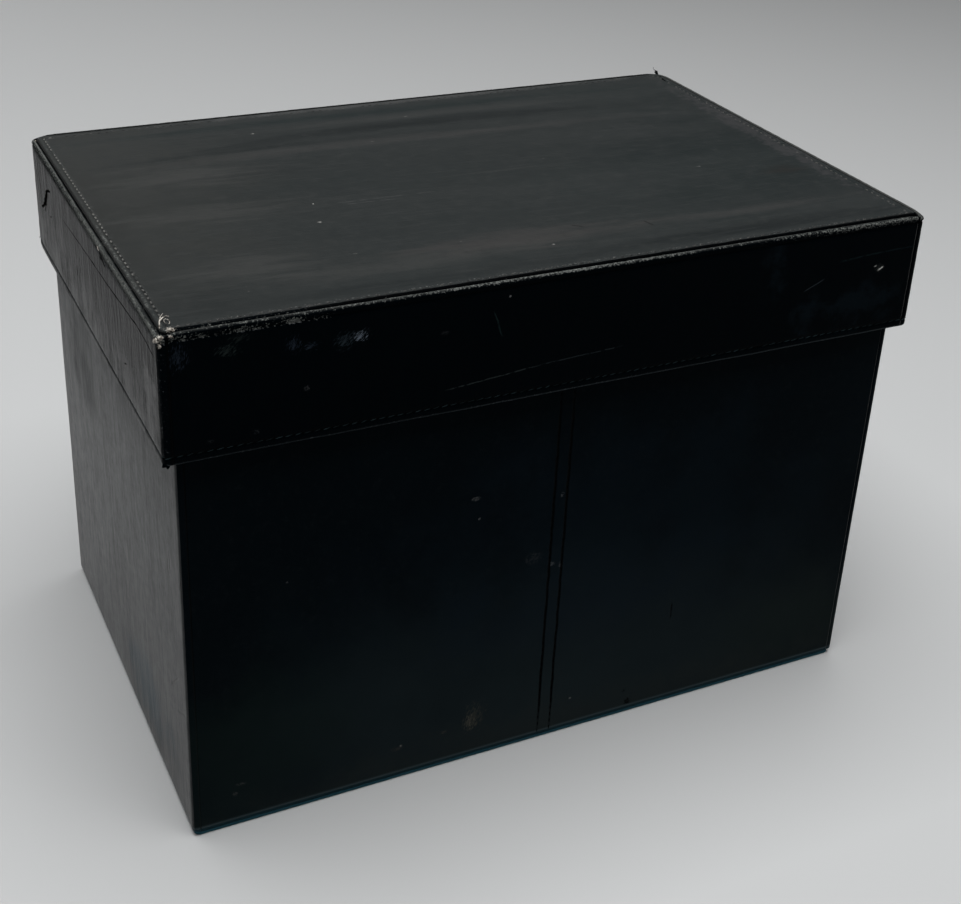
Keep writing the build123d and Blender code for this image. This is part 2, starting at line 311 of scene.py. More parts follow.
def weave_group():
    """Plain weave: relief and tone from 0 to 1, on a flat of any facing."""
    tree, given, out = new_group("plain weave", {"Place": (0, 0, 0), "Threads per metre": 1600.0},
                                 ["Relief", "Tone"])
    half_turns = times(tree, given["Threads per metre"], math.pi)
    wave = turn(tree, "SINE", turn(tree, "SCALE", given["Place"], scale=half_turns))
    part = parts(tree, wave)
    crossing = times(tree, times(tree, part[0], part[1]), part[2])
    pairs = plus(tree, times(tree, part[0], part[1]), times(tree, part[1], part[2]))
    relief = step(tree, "ABSOLUTE", plus(tree, pairs, crossing))
    fuzz = cloud(tree, given["Place"], 700.0, 4.0, 0.7)
    tree.links.new(plus(tree, times(tree, relief, 0.5), times(tree, fuzz, 0.5)), out["Relief"])
    tree.links.new(fuzz, out["Tone"])
    return tree


GRAIN = grain_group()
STREAKS = streak_group()
LINE = line_group()
PATCH = patch_group()
WIPE = wipe_group()
SCUFF = scuff_group()
SPECKS = speck_group()
EDGES = edge_group()
WEAVE = weave_group()


def finish_of(name, rough, gloss):
    """A new material; gives it with its tree, its shader and the place on the piece."""
    material = bpy.data.materials.new(name)
    material.use_nodes = True
    tree = material.node_tree
    shader = tree.nodes["Principled BSDF"]
    shader.inputs["Roughness"].default_value = rough
    shader.inputs["Specular IOR Level"].default_value = gloss
    place = add(tree, "ShaderNodeTexCoord").outputs["Object"]
    return material, tree, shader, place


def coloured(tree, shader, colour):
    """Gives a finish its colour, from other nodes."""
    tree.links.new(colour, shader.inputs["Base Color"])


def relieved(tree, shader, height, depth=MM):
    """Lets a height, in millimetres, shape the light on a finish."""
    bump = add(tree, "ShaderNodeBump", {"Height": height, "Distance": depth, "Strength": 1.0})
    tree.links.new(bump.outputs["Normal"], shader.inputs["Normal"])


def millimetres(point):
    """A point given in millimetres, in metres."""
    return tuple(v * MM for v in point)


def in_scene(name, data):
    """An object that carries the data, linked into the scene."""
    made = bpy.data.objects.new(name, data)
    bpy.context.scene.collection.objects.link(made)
    return made


class Leather:
    """A black leather finish, built up from the hide outwards, one coat of wear after another."""

    def __init__(self, name, hide, rubbed, rough=0.42, gloss=0.02, bloom=0.19, pebbles=0.010, creases=0.045):
        self.material, self.tree, self.shader, self.place = finish_of(name, rough, gloss)
        self.shader.inputs["Sheen Weight"].default_value = bloom
        self.shader.inputs["Sheen Roughness"].default_value = 0.3
        grain = use(self.tree, GRAIN, {"Place": self.place, "Pebble relief": pebbles,
                                       "Crease relief": creases})
        self.relief = grain["Relief"]
        self.colour = mixed(self.tree, hide, rubbed, times(self.tree, grain["Tone"], 0.5))
        self.dullness = rough

    def mask(self, group, **feeds):
        """A group's mask over this leather, with its sockets named with underscores."""
        named = {label.replace("_", " "): value for label, value in feeds.items()}
        return use(self.tree, group, {"Place": self.place, **named})["Mask"]

    def cloud(self, scale, detail=2.0, rough=0.5):
        """Noise over this leather, from 0 to 1."""
        return cloud(self.tree, self.place, scale, detail, rough)

    def height(self):
        """The height above the table, in metres."""
        return parts(self.tree, self.place)[2]

    def tint(self, mask, colour, share=1.0):
        """Lays a colour over the leather where the mask is."""
        self.colour = mixed(self.tree, self.colour, colour, times(self.tree, mask, share))

    def dull(self, mask, amount):
        """Roughens the leather where the mask is."""
        self.dullness = step(self.tree, "MULTIPLY_ADD", mask, amount, self.dullness)

    def press(self, mask, depth):
        """Presses the leather down, or raises it where depth is below 0."""
        self.relief = step(self.tree, "MULTIPLY_ADD", mask, -depth, self.relief)

    def streaks(self, stretch, low, high, colour, share, dulling=0.0, bend=0.01):
        """Long soft streaks; gives their mask."""
        mask = self.mask(STREAKS, Stretch=stretch, Low=low, High=high, Bend=bend)
        self.tint(mask, colour, share)
        if dulling:
            self.dull(mask, dulling)
        return mask

    def line(self, start, end, width, colour, share=1.0, depth=0.0, waver=0.6, breaks=0.3):
        """A scratch, crease or row from one point to another, in millimetres."""
        mask = self.mask(LINE, From=millimetres(start), To=millimetres(end), Width=width * MM,
                         Waver=waver * MM, Breaks=breaks)
        self.tint(mask, colour, share)
        if depth:
            self.press(mask, depth)

    def patch(self, centre, reach, colour, share=1.0, ragged=0.8, grit=500.0, depth=0.0):
        """A ragged place of another colour."""
        mask = self.place_mask(centre, reach, ragged, grit)
        self.tint(mask, colour, share)
        if depth:
            self.press(mask, depth)

    def wipe(self, centre, half, bow, colour, share, ragged):
        """A wipe across the top; the bow, in millimetres, is how far its ends hang back."""
        mask = self.mask(WIPE, Centre=millimetres((*centre, PANEL_TOP)),
                         Half=(half[0] * MM, half[1] * MM, 1.0),
                         Bow=bow * MM / (half[0] * MM) ** 2, Ragged=ragged)
        self.tint(mask, colour, share)

    def scuff(self, centre, reach, slope, colour, share, fine=1.0):
        """A scuff of fine ticks that slope up from level by a number of degrees."""
        mask = self.mask(SCUFF, Centre=millimetres(centre), Reach=millimetres((reach[0], 30.0, reach[1])),
                         Slope=math.radians(slope), Fine=fine)
        self.tint(mask, colour, share)

    def place_mask(self, centre, reach, ragged, grit):
        """The mask of a ragged place."""
        return self.mask(PATCH, Centre=millimetres(centre), Reach=millimetres(reach), Ragged=ragged,
                         Grit=grit)

    def burnish(self, mask, amount):
        """Polish of long handling, seen where the light grazes."""
        weight = times(self.tree, mask, amount, clamp=True)
        self.tree.links.new(weight, self.shader.inputs["Coat Weight"])
        self.shader.inputs["Coat Roughness"].default_value = 0.5

    def specks(self, per_metre, size, share, colour, strength=1.0):
        """Flecks of lint or dust."""
        self.tint(self.mask(SPECKS, Per_metre=per_metre, Size=size, Share=share), colour, strength)

    def attribute(self, name):
        """An amount that was worked out with the mesh."""
        return add(self.tree, "ShaderNodeAttribute", attribute_name=name).outputs["Fac"]

    def done(self):
        """Joins up what was gathered and gives the finished material."""
        coloured(self.tree, self.shader, self.colour)
        if isinstance(self.dullness, bpy.types.NodeSocket):
            held = step(self.tree, "MINIMUM", self.dullness, 0.95)
            self.tree.links.new(held, self.shader.inputs["Roughness"])
        relieved(self.tree, self.shader, self.relief)
        return self.material


# ---------------------------------------------------------------- finishes

LID_HIDE = (0.0002, 0.0010, 0.0017)
LID_HIDE_RUBBED = (0.0010, 0.0022, 0.0032)
HIDE = (0.0006, 0.0022, 0.0034)
HIDE_RUBBED = (0.0018, 0.0040, 0.0056)
GREY_RUB = (0.007, 0.009, 0.010)
PANEL_HIDE = (0.0125, 0.0150, 0.0152)
PANEL_RUBBED = (0.0200, 0.0225, 0.0225)
WORN_SUEDE = (0.044, 0.048, 0.046)
PALE_SUEDE_AND_HIGHLIGHT = (0.127, 0.132, 0.126)
PALE_LINT = (0.50, 0.49, 0.46)
# Near-black: painted shade in grooves, channels and seams, and also real nicks, scratches and marks.
SHADE_AND_MARK_BLACK = (0.0003, 0.0005, 0.0007)
BLUE_SCUFF = (0.024, 0.032, 0.046)
PALE_SCUFF = (0.050, 0.055, 0.060)
BLACK_DUST = (0.010, 0.013, 0.016)


def granular(finish, name, swing=3.0):
    """A painted-in amount of wear, broken up into crisp grains."""
    grains = finish.cloud(1100.0, 2.5, 0.65)
    change = times(finish.tree, less(finish.tree, grains, 0.5), swing)
    broken = ramp(finish.tree, plus(finish.tree, finish.attribute(name), change), 0.62, 0.92)
    return times(finish.tree, broken, ramp(finish.tree, finish.attribute(name), 0.10, 0.30))


def suede(finish):
    """The pale underside of the hide where its face is gone, darker and lighter by the grain."""
    tone = ramp(finish.tree, finish.cloud(1700.0, 2.0), 0.35, 0.68)
    return mixed(finish.tree, WORN_SUEDE, PALE_SUEDE_AND_HIGHLIGHT, tone)


def panel_leather():
    """The lid's top: greyed by handling, wiped in long arcs, rubbed pale round its stitched edge."""
    finish = Leather("lid panel leather", PANEL_HIDE, PANEL_RUBBED, rough=0.48, gloss=0.10, bloom=0.08,
                     pebbles=0.010, creases=0.03)
    dark, cool, pale = (0.0065, 0.0085, 0.0090), (0.0085, 0.0125, 0.0128), (0.030, 0.031, 0.030)
    warm, scratch = (0.0310, 0.0305, 0.0300), (0.060, 0.060, 0.060)
    top = PANEL_TOP
    finish.patch((-185, 20, top), (150, 230, 30), (0.0200, 0.0208, 0.0194), 0.62, 0.2, 30.0)
    finish.patch((190, -20, top), (210, 150, 30), (0.0050, 0.0082, 0.0086), 0.75, 0.25, 30.0)
    finish.patch((-172, -5, top), (13, 150, 30), (0.0120, 0.0130, 0.0125), 0.40, 0.3, 60.0)
    finish.streaks((3.0, 30.0, 30.0), 0.42, 0.75, (0.026, 0.028, 0.028), 0.25, 0.04, 0.06)
    finish.streaks((2.2, 13.0, 30.0), 0.46, 0.78, cool, 0.35, -0.02, 0.07)
    for centre, half, bow, colour, share, ragged in (
            ((-5, 101), (220, 7), 4, cool, 0.9, 0.5),
            ((10, 78), (170, 9), 16, dark, 0.85, 0.5),
            ((-80, 66), (120, 4), 10, dark, 0.55, 0.5),
            ((10, 90), (150, 5), 8, pale, 0.30, 0.6),
            ((-45, 58), (150, 8), 8, warm, 0.42, 0.5),
            ((70, 55), (90, 6), 6, warm, 0.30, 0.6),
            ((-125, 38), (48, 19), 2, pale, 0.70, 0.8),
            ((-105, 34), (60, 3.5), 6, dark, 0.40, 0.5),
            ((-130, -8), (50, 15), 0, pale, 0.50, 1.2),
            ((-130, -70), (40, 18), 3, pale, 0.55, 1.0),
            ((-14, -80), (75, 16), 0, (0.036, 0.033, 0.032), 0.45, 0.8),
            ((-70, -88), (80, 12), -3, pale, 0.45, 0.8),
            ((102, -84), (70, 6), -3, warm, 0.45, 0.6),
            ((95, -103), (120, 9), 3, dark, 0.95, 0.5),
            ((-60, -105), (150, 7), 3, dark, 0.45, 0.6),
            ((152, -44), (16, 8), 0, (0.010, 0.009, 0.008), 0.5, 0.9),
            ((-158, -95), (26, 18), 0, dark, 0.35, 0.9),
            ((20, 0), (56, 1.6), 0, pale, 0.25, 0.9)):
        finish.wipe(centre, half, bow, colour, share, ragged)
    fine = finish.streaks((60.0, 420.0, 200.0), 0.45, 0.75, (0.030, 0.032, 0.032), 0.16, 0.05, 0.02)
    finish.press(fine, -0.02)
    blotch = finish.cloud(150.0, 5.0, 0.7)
    finish.tint(ramp(finish.tree, blotch, 0.50, 0.75), pale, 0.22)
    finish.tint(ramp(finish.tree, blotch, 0.50, 0.28), dark, 0.22)
    finish.patch((20, 114, top), (190, 6, 20), (0.046, 0.047, 0.047), 0.60, 0.5, 90.0)
    finish.patch((171, 10, top), (9, 140, 20), (0.036, 0.034, 0.036), 0.42, 0.9, 260.0)
    finish.tint(granular(finish, "rub"), suede(finish), 0.8)
    finish.dull(finish.attribute("rub"), 0.2)
    # Painted shade in the groove round the panel and in the holes between the left row's stitches.
    finish.tint(finish.attribute("painted_shade"), SHADE_AND_MARK_BLACK)
    finish.dull(finish.attribute("painted_shade"), 0.4)
    finish.specks(34.0, 0.030, 0.28, PALE_LINT, 0.45)
    finish.specks(110.0, 0.05, 0.16, (0.09, 0.088, 0.084), 0.5)
    for x, y, size in ((-76.5, 87.5, 1.1), (-85.3, -33.6, 1.3), (-83.3, -71, 0.8), (0, -90, 1.0),
                       (-24.3, 57.5, 1.0), (7.3, 89, 0.9), (114, -27, 1.2)):
        finish.patch((x, y, top), (size, size * 0.7, 3), (0.26, 0.255, 0.24), 0.5, 1.8, 1200.0)
    finish.line((-71, -14.6, top), (-21, -15.6, top), 0.45, scratch, 0.50, 0.01, 1.0, 0.4)
    finish.line((-68, -17.6, top), (-41, -18.4, top), 0.40, scratch, 0.45, 0.01, 1.0, 0.4)
    finish.line((18, -73.5, top), (22, -77, top), 0.7, SHADE_AND_MARK_BLACK, 0.6, 0.02, 1.5, 0.2)
    finish.line((51, -80, top), (52.6, -86, top), 0.8, SHADE_AND_MARK_BLACK, 0.6, 0.02, 1.5, 0.2)
    return finish.done()


def brushed(finish, strength):
    """Fine upright brushing, strongest on the box's ends."""
    fine = finish.streaks((420.0, 420.0, 42.0), 0.40, 0.72, GREY_RUB, 0.16 * strength,
                          0.12 * strength, 0.008)
    finish.press(fine, -0.07 * strength)
    broad = finish.streaks((110.0, 110.0, 22.0), 0.40, 0.70, GREY_RUB, 0.16 * strength,
                           0.10 * strength, 0.02)
    finish.press(broad, -0.10 * strength)
    finish.press(finish.cloud(420.0, 5.0, 0.7), -0.14 * strength)


def band_leather(name, bloom, brushing):
    """The lid's skirt: nearly black, brushed upright."""
    finish = Leather(name, LID_HIDE, LID_HIDE_RUBBED, gloss=0.006, bloom=bloom)
    brushed(finish, brushing)
    finish.tint(granular(finish, "rub"), (0.042, 0.045, 0.050), 0.9)
    finish.tint(finish.attribute("crest"), (0.026, 0.033, 0.037), 0.9)
    # Painted shade in the lower stitch channel, under the rim's foot and at the seams.
    finish.tint(finish.attribute("painted_shade"), SHADE_AND_MARK_BLACK, 0.9)
    finish.specks(260.0, 0.12, 0.10, BLACK_DUST, 0.5)
    return finish


def front_band_leather():
    """The lid's front, with its scratches and scuffs."""
    finish = band_leather("lid front leather", 0.06, 0.1)
    front = -LID_HALF[1]
    for x, z, end, width, colour, share, depth, waver, breaks in (
            (-61.7, 206.7, (-18, 210.6), 0.42, (0.024, 0.030, 0.030), 0.65, 0.03, 0.8, 0.3),
            (-18, 210.6, (22, 212.6), 0.40, (0.018, 0.023, 0.025), 0.65, 0.03, 0.8, 0.35),
            (-41, 239, (-36.7, 227.3), 0.5, (0.008, 0.016, 0.016), 0.7, 0.03, 1.2, 0.3),
            (115.7, 223.3, (126.3, 228), 0.4, (0.022, 0.027, 0.032), 0.7, 0.03, 0.6, 0.3),
            (134, 235.6, (158, 236.9), 0.6, (0.006, 0.012, 0.013), 0.6, 0.04, 1.0, 0.3),
            (156, 236.8, (178, 237.2), 0.5, (0.005, 0.010, 0.012), 0.6, 0.04, 1.0, 0.3)):
        finish.line((x, front, z), (end[0], front, end[1]), width, colour, share, depth, waver, breaks)
    for x, z, reach, slope, colour, share, fine in (
            (-172.5, 242, (6, 8), 75, BLUE_SCUFF, 0.36, 1.8),
            (-153.5, 241.5, (7, 4), 35, (0.030, 0.040, 0.038), 0.40, 1.7),
            (-148, 246, (7, 2.5), 25, (0.022, 0.028, 0.027), 0.35, 1.7),
            (-127, 239.5, (4.5, 4.5), 60, BLUE_SCUFF, 0.50, 1.9),
            (-120, 237.5, (4.5, 2.5), 10, BLUE_SCUFF, 0.50, 1.8),
            (-106, 237.5, (6, 5), 40, (0.026, 0.036, 0.044), 0.55, 1.8),
            (-99.5, 238.4, (5, 3.4), 35, (0.13, 0.155, 0.19), 0.70, 1.8)):
        finish.scuff((x, front, z), reach, slope, colour, share, fine)
    for x, z, reach in ((98, 236, (10, 900, 16)), (119, 213, (11, 900, 18)), (148, 212, (30, 900, 15))):
        finish.patch((x, front, z), reach, (0.0040, 0.0080, 0.0110), 0.50, 0.8, 90.0)
    finish.line((156.6, front, 227.8), (159.2, front, 229.2), 0.62, (0.50, 0.50, 0.47), 1.0, -0.1, 0.4, 0.0)
    finish.patch((154.6, front, 230.2), (1.0, 3, 0.7), (0.24, 0.24, 0.23), 1.0, 1.0, 1300.0)
    finish.patch((157.2, front, 229), (3, 3, 2.4), (0.022, 0.024, 0.024), 0.6, 2.2, 1500.0)
    finish.patch((-34, front, 245), (0.7, 2, 0.7), (0.12, 0.12, 0.12), 1.0, 0.6, 700.0)
    for x, z, wide, tall, colour, share, ragged, grit in (
            (-121.7, 219.3, 1.5, 1.4, (0.030, 0.030, 0.032), 0.6, 2.6, 1700.0),
            (-142.7, 204, 1.8, 1.2, (0.016, 0.018, 0.020), 0.6, 2.6, 1700.0),
            (-161, 203.4, 1.8, 1.0, (0.012, 0.014, 0.015), 0.6, 2.6, 1700.0),
            (-62.7, 233.3, 2.2, 1.0, (0.018, 0.019, 0.02), 0.6, 2.4, 1500.0)):
        finish.patch((x, front, z), (wide, 3, tall), colour, share, ragged, grit)
    return finish.done()


def side_band_leather():
    """The lid's ends, burnished by hands low down and near the corners."""
    finish = band_leather("lid side leather", 0.14, 1.6)
    left = -LID_HALF[0]
    height = finish.height()
    lower = ramp(finish.tree, height, 236 * MM, 200 * MM)
    mottled = ramp(finish.tree, finish.cloud(70.0, 5.0, 0.65), 0.38, 0.66)
    handled = finish.place_mask((left, -103, 216), (900, 16, 26), 0.9, 90.0)
    finish.burnish(step(finish.tree, "MAXIMUM", times(finish.tree, lower, mottled), handled), 0.40)
    for y, low, high in ((106, 236, 248), (103.6, 228, 240), (101, 240, 247), (97.4, 232, 238),
                         (93, 238, 247), (66, 214, 226), (40, 206, 219), (14, 222, 230), (-18, 206, 214)):
        finish.line((left, y, low), (left, y + 1, high), 0.9, SHADE_AND_MARK_BLACK, 0.9, 0.35, 1.6, 0.25)
    return finish.done()


def rim_leather():
    """The lid's rolled rim, its surface rubbed through to the grey suede beneath."""
    finish = Leather("rolled rim leather", LID_HIDE, LID_HIDE_RUBBED, rough=0.6, gloss=0.008, bloom=0.0,
                     pebbles=0.03, creases=0.12)
    finish.tint(granular(finish, "rub"), suede(finish))
    # The crest's pale line: worn bare suede, and a painted highlight and sheen along the bead's top.
    finish.tint(finish.attribute("crest"), PALE_SUEDE_AND_HIGHLIGHT, 0.7)
    finish.dull(finish.attribute("rub"), 0.3)
    finish.press(finish.cloud(1600.0, 3.0, 0.7), -0.20)
    # Painted shade in the groove under the panel's edge and at the seams.
    finish.tint(finish.attribute("painted_shade"), SHADE_AND_MARK_BLACK)
    return finish.done()


def body_leather(name, bloom, brushing, gloss):
    """The box's sides: black and smooth, greyed upright by handling, rubbed at their edges."""
    finish = Leather(name, HIDE, HIDE_RUBBED, gloss=gloss, bloom=bloom)
    brushed(finish, brushing)
    finish.streaks((9.0, 9.0, 7.0), 0.42, 0.75, (0.0020, 0.0046, 0.0066), 0.6, -0.03, 0.03)
    finish.tint(granular(finish, "rub"), (0.060, 0.054, 0.054), 0.8)
    # Painted shade along the seams.
    finish.tint(finish.attribute("painted_shade"), SHADE_AND_MARK_BLACK, 0.95)
    finish.specks(50.0, 0.03, 0.10, PALE_LINT, 0.15)
    finish.specks(240.0, 0.12, 0.10, BLACK_DUST, 0.4)
    return finish


def foot(finish):
    """The pale edge at the box's foot, and the teal cloth that laps up over the leather's turn."""
    finish.tint(finish.attribute("crest"), (0.036, 0.052, 0.059), 0.95)
    height = finish.height()
    finish.tint(ramp(finish.tree, height, 4.0 * MM, 3.7 * MM), (0.006, 0.026, 0.035), 0.95)


def front_leather():
    """The box's front and back, lighter towards the bottom and the lower right with a painted reflection of
    the floor, with painted shade along the rows of the middle seam, and the scuffs of use.
    """
    finish = body_leather("box front leather", 0.06, 0.1, 0.008)
    front = -BODY_HALF[1]
    # Painted reflection of the floor: these patches lighten the front towards the bottom and the lower
    # right.
    for x, z, wide, tall, colour, share, ragged, grit in (
            (0, -10, 300, 165, (0.0110, 0.0175, 0.0200), 0.85, 0.12, 14.0),
            (30, 120, 170, 80, (0.0030, 0.0072, 0.0110), 0.40, 0.4, 25.0),
            (20, 75, 150, 45, (0.0050, 0.0094, 0.0150), 0.35, 0.3, 25.0),
            (-150, 40, 80, 80, (0.0060, 0.0125, 0.0100), 0.30, 0.25, 30.0),
            (150, 30, 80, 50, (0.0100, 0.0155, 0.0130), 0.40, 0.3, 30.0),
            (20, 0, 280, 34, (0.0150, 0.0190, 0.0185), 0.50, 0.3, 60.0)):
        finish.patch((x, front, z), (wide, 900, tall), colour, share, ragged, grit)
    grime = finish.cloud(300.0, 5.0, 0.75)
    finish.tint(ramp(finish.tree, grime, 0.52, 0.72), (0.0110, 0.0140, 0.0150), 0.16)
    # Painted reflection of the floor along the very foot.
    finish.patch((0, front, 0), (420, 900, 9), (0.0110, 0.0145, 0.0150), 0.8, 0.2, 60.0)
    finish.scuff((-37.5, front, 25), (8, 12), 65, (0.034, 0.034, 0.028), 0.70, 1.7)
    finish.scuff((-40, front, 22), (5, 7), 75, (0.070, 0.065, 0.052), 0.60, 2.0)
    for x, z, wide, tall, colour, share, ragged, grit in (
            (-53.3, 20.3, 1.8, 1.4, (0.040, 0.038, 0.034), 0.6, 2.2, 1600.0),
            (-75, 19.3, 0.9, 0.7, (0.26, 0.26, 0.24), 0.9, 0.9, 900.0),
            (-77, 18.2, 3.6, 1.6, (0.030, 0.030, 0.028), 0.6, 2.2, 1600.0),
            (-152, 23.5, 2.8, 1.0, (0.040, 0.042, 0.042), 0.6, 2.2, 1600.0),
            (-154.5, 18.6, 1.4, 1.4, (0.035, 0.036, 0.036), 0.6, 2.2, 1600.0),
            (-42.3, 146.3, 2.4, 1.2, (0.070, 0.072, 0.074), 0.7, 2.3, 1700.0),
            (-40, 135.5, 0.7, 1.1, (0.090, 0.092, 0.094), 0.8, 1.0, 1100.0),
            (-129, 125.4, 0.9, 0.9, (0.040, 0.042, 0.044), 0.7, 1.2, 1100.0),
            (-11.7, 107.7, 5, 4, (0.016, 0.019, 0.022), 0.6, 1.6, 900.0),
            (-1.7, 102, 1.8, 1.4, (0.045, 0.050, 0.055), 0.7, 2.0, 1500.0),
            (3.3, 100.4, 1.6, 2.0, PALE_SCUFF, 0.7, 1.8, 1300.0),
            (1, 138.7, 1.4, 1.4, PALE_SCUFF, 0.8, 1.4, 1200.0),
            (14.3, 19.3, 1.0, 0.8, (0.09, 0.09, 0.09), 0.9, 0.6, 700.0),
            (45, 14.3, 1.8, 1.2, SHADE_AND_MARK_BLACK, 0.9, 1.2, 700.0),
            (47.7, 7, 2.4, 3, SHADE_AND_MARK_BLACK, 0.9, 1.4, 700.0)):
        finish.patch((x, front, z), (wide, 3, tall), colour, share, ragged, grit)
    finish.line((67.7, front, 52), (67.9, front, 61), 0.7, SHADE_AND_MARK_BLACK, 0.8, 0.1, 1.0, 0.2)
    # Painted shade: a near-black line along each pressed channel of the middle seam's rows.
    for row in SEAM_ROWS:
        finish.line((row, front, 4), (row, front, 196), 1.05, SHADE_AND_MARK_BLACK, 1.0, 0.08, 1.1, 0.0)
        finish.line((-row, -front, 4), (-row, -front, 196), 1.05, SHADE_AND_MARK_BLACK, 1.0, 0.08, 1.1, 0.0)
    foot(finish)
    return finish.done()


def side_leather():
    """The box's ends, burnished in patches, with a few dark nicks."""
    finish = body_leather("box side leather", 0.135, 1.0, 0.02)
    left = -BODY_HALF[0]
    finish.patch((left, -40, 28), (900, 60, 30), (0.010, 0.026, 0.036), 0.9, 0.5, 40.0)
    mottled = ramp(finish.tree, finish.cloud(160.0, 6.0, 0.75), 0.34, 0.66)
    shaded = finish.place_mask((left, 60, 155), (900, 46, 38), 0.6, 40.0)
    cooler = finish.place_mask((left, -45, 22), (900, 80, 36), 0.5, 40.0)
    even = less(finish.tree, step(finish.tree, "MULTIPLY_ADD", shaded, -0.95, 1.0),
                times(finish.tree, cooler, 0.85), clamp=True)
    uneven = step(finish.tree, "MULTIPLY_ADD", mottled, 0.45, 0.55)
    finish.burnish(times(finish.tree, even, uneven), 0.55)
    for start, end in (((-92, 130), (-92.6, 137)), ((-94, 127), (-93, 131)), ((-95.5, 133), (-96, 138)),
                       ((-110, 132), (-111, 137)), ((-17, 164), (-17.5, 174)), ((-2, 160), (-2, 166)),
                       ((-100.3, 80.3), (-87, 67)), ((-108.7, 66.3), (-97, 59.7)), ((-79, 34), (-76, 38))):
        finish.line((left, *start), (left, *end), 0.7, SHADE_AND_MARK_BLACK, 1.0, 0.30, 1.0, 0.15)
    foot(finish)
    return finish.done()


def torn_and_crease_shade_finish():
    """Dark torn fibre inside a cut, and painted shade along a crease."""
    material, tree, shader, place = finish_of("torn leather and crease shade", 0.95, 0.0)
    fibres = cloud(tree, place, 1400.0, 3.0)
    coloured(tree, shader, mixed(tree, (0.0008, 0.0008, 0.0009), (0.006, 0.006, 0.006), fibres))
    relieved(tree, shader, times(tree, fibres, 0.2))
    return material


def thread_finish(name, dark, pale, gloss, share_low=0.42, share_high=0.66):
    """Waxed thread, its lay seen as fine slanted ridges, worn pale in places."""
    material, tree, shader, place = finish_of(name, 0.7, gloss)
    worn = ramp(tree, cloud(tree, place, 130.0, 3.0), share_low, share_high)
    coloured(tree, shader, mixed(tree, dark, pale, worn))
    lay = cloud(tree, place, 3200.0, 2.0)
    relieved(tree, shader, times(tree, lay, 0.15))
    return material


def panel_thread_finish():
    """The panel's thread: pale with dust along the left end, dark and greasy elsewhere."""
    material, tree, shader, place = finish_of("panel thread", 0.7, 0.15)
    part = parts(tree, place)
    worn = ramp(tree, cloud(tree, place, 130.0, 3.0), 0.38, 0.66)
    left = ramp(tree, part[0], -165 * MM, -172 * MM)
    back = ramp(tree, part[1], -112 * MM, -30 * MM, 0.60, 1.0)
    dust = times(tree, left, back)
    right = ramp(tree, part[0], 165 * MM, 172 * MM, 0.0, 0.40)
    dust = step(tree, "MAXIMUM", dust, right)
    share = step(tree, "MAXIMUM", times(tree, worn, 0.35), dust)
    coloured(tree, shader, mixed(tree, (0.0085, 0.009, 0.009), (0.105, 0.104, 0.097), share))
    relieved(tree, shader, times(tree, cloud(tree, place, 3200.0, 2.0), 0.15))
    return material


def fibre_finish(name, dark, pale):
    """Loose dry fibre, from dark to pale along its length."""
    material, tree, shader, place = finish_of(name, 0.9, 0.2)
    mask = ramp(tree, cloud(tree, place, 500.0, 3.0), 0.35, 0.65)
    coloured(tree, shader, mixed(tree, dark, pale, mask))
    return material


def board_finish():
    """Grey bookbinder's board, its fibres pressed flat."""
    material, tree, shader, place = finish_of("grey board", 0.9, 0.2)
    fibres = use(tree, STREAKS, {"Place": place, "Stretch": (300.0, 900.0, 300.0), "Low": 0.35, "High": 0.7})
    flecks = use(tree, SPECKS, {"Place": place, "Per metre": 500.0, "Size": 0.25, "Share": 0.12})["Mask"]
    colour = mixed(tree, (0.19, 0.175, 0.15), (0.30, 0.28, 0.245), fibres["Mask"])
    coloured(tree, shader, mixed(tree, colour, (0.08, 0.07, 0.06), flecks))
    relieved(tree, shader, times(tree, fibres["Mask"], 0.06))
    return material


def lining_finish():
    """Black suede-faced lining cloth, its nap brushed this way and that."""
    material, tree, shader, place = finish_of("lining cloth", 0.92, 0.2)
    nap = cloud(tree, place, 18.0, 3.0, 0.6)
    hairs = cloud(tree, place, 1300.0, 4.0, 0.8)
    tone = step(tree, "MULTIPLY_ADD", nap, 0.6, times(tree, hairs, 0.4))
    colour = mixed(tree, (0.012, 0.012, 0.0125), (0.034, 0.033, 0.033), ramp(tree, tone, 0.3, 0.7))
    lint = use(tree, SPECKS, {"Place": place, "Per metre": 90.0, "Size": 0.05, "Share": 0.3})["Mask"]
    coloured(tree, shader, mixed(tree, colour, (0.20, 0.20, 0.19), times(tree, lint, 0.5)))
    shader.inputs["Sheen Weight"].default_value = 0.25
    shader.inputs["Sheen Roughness"].default_value = 0.5
    relieved(tree, shader, times(tree, hairs, 0.25))
    return material


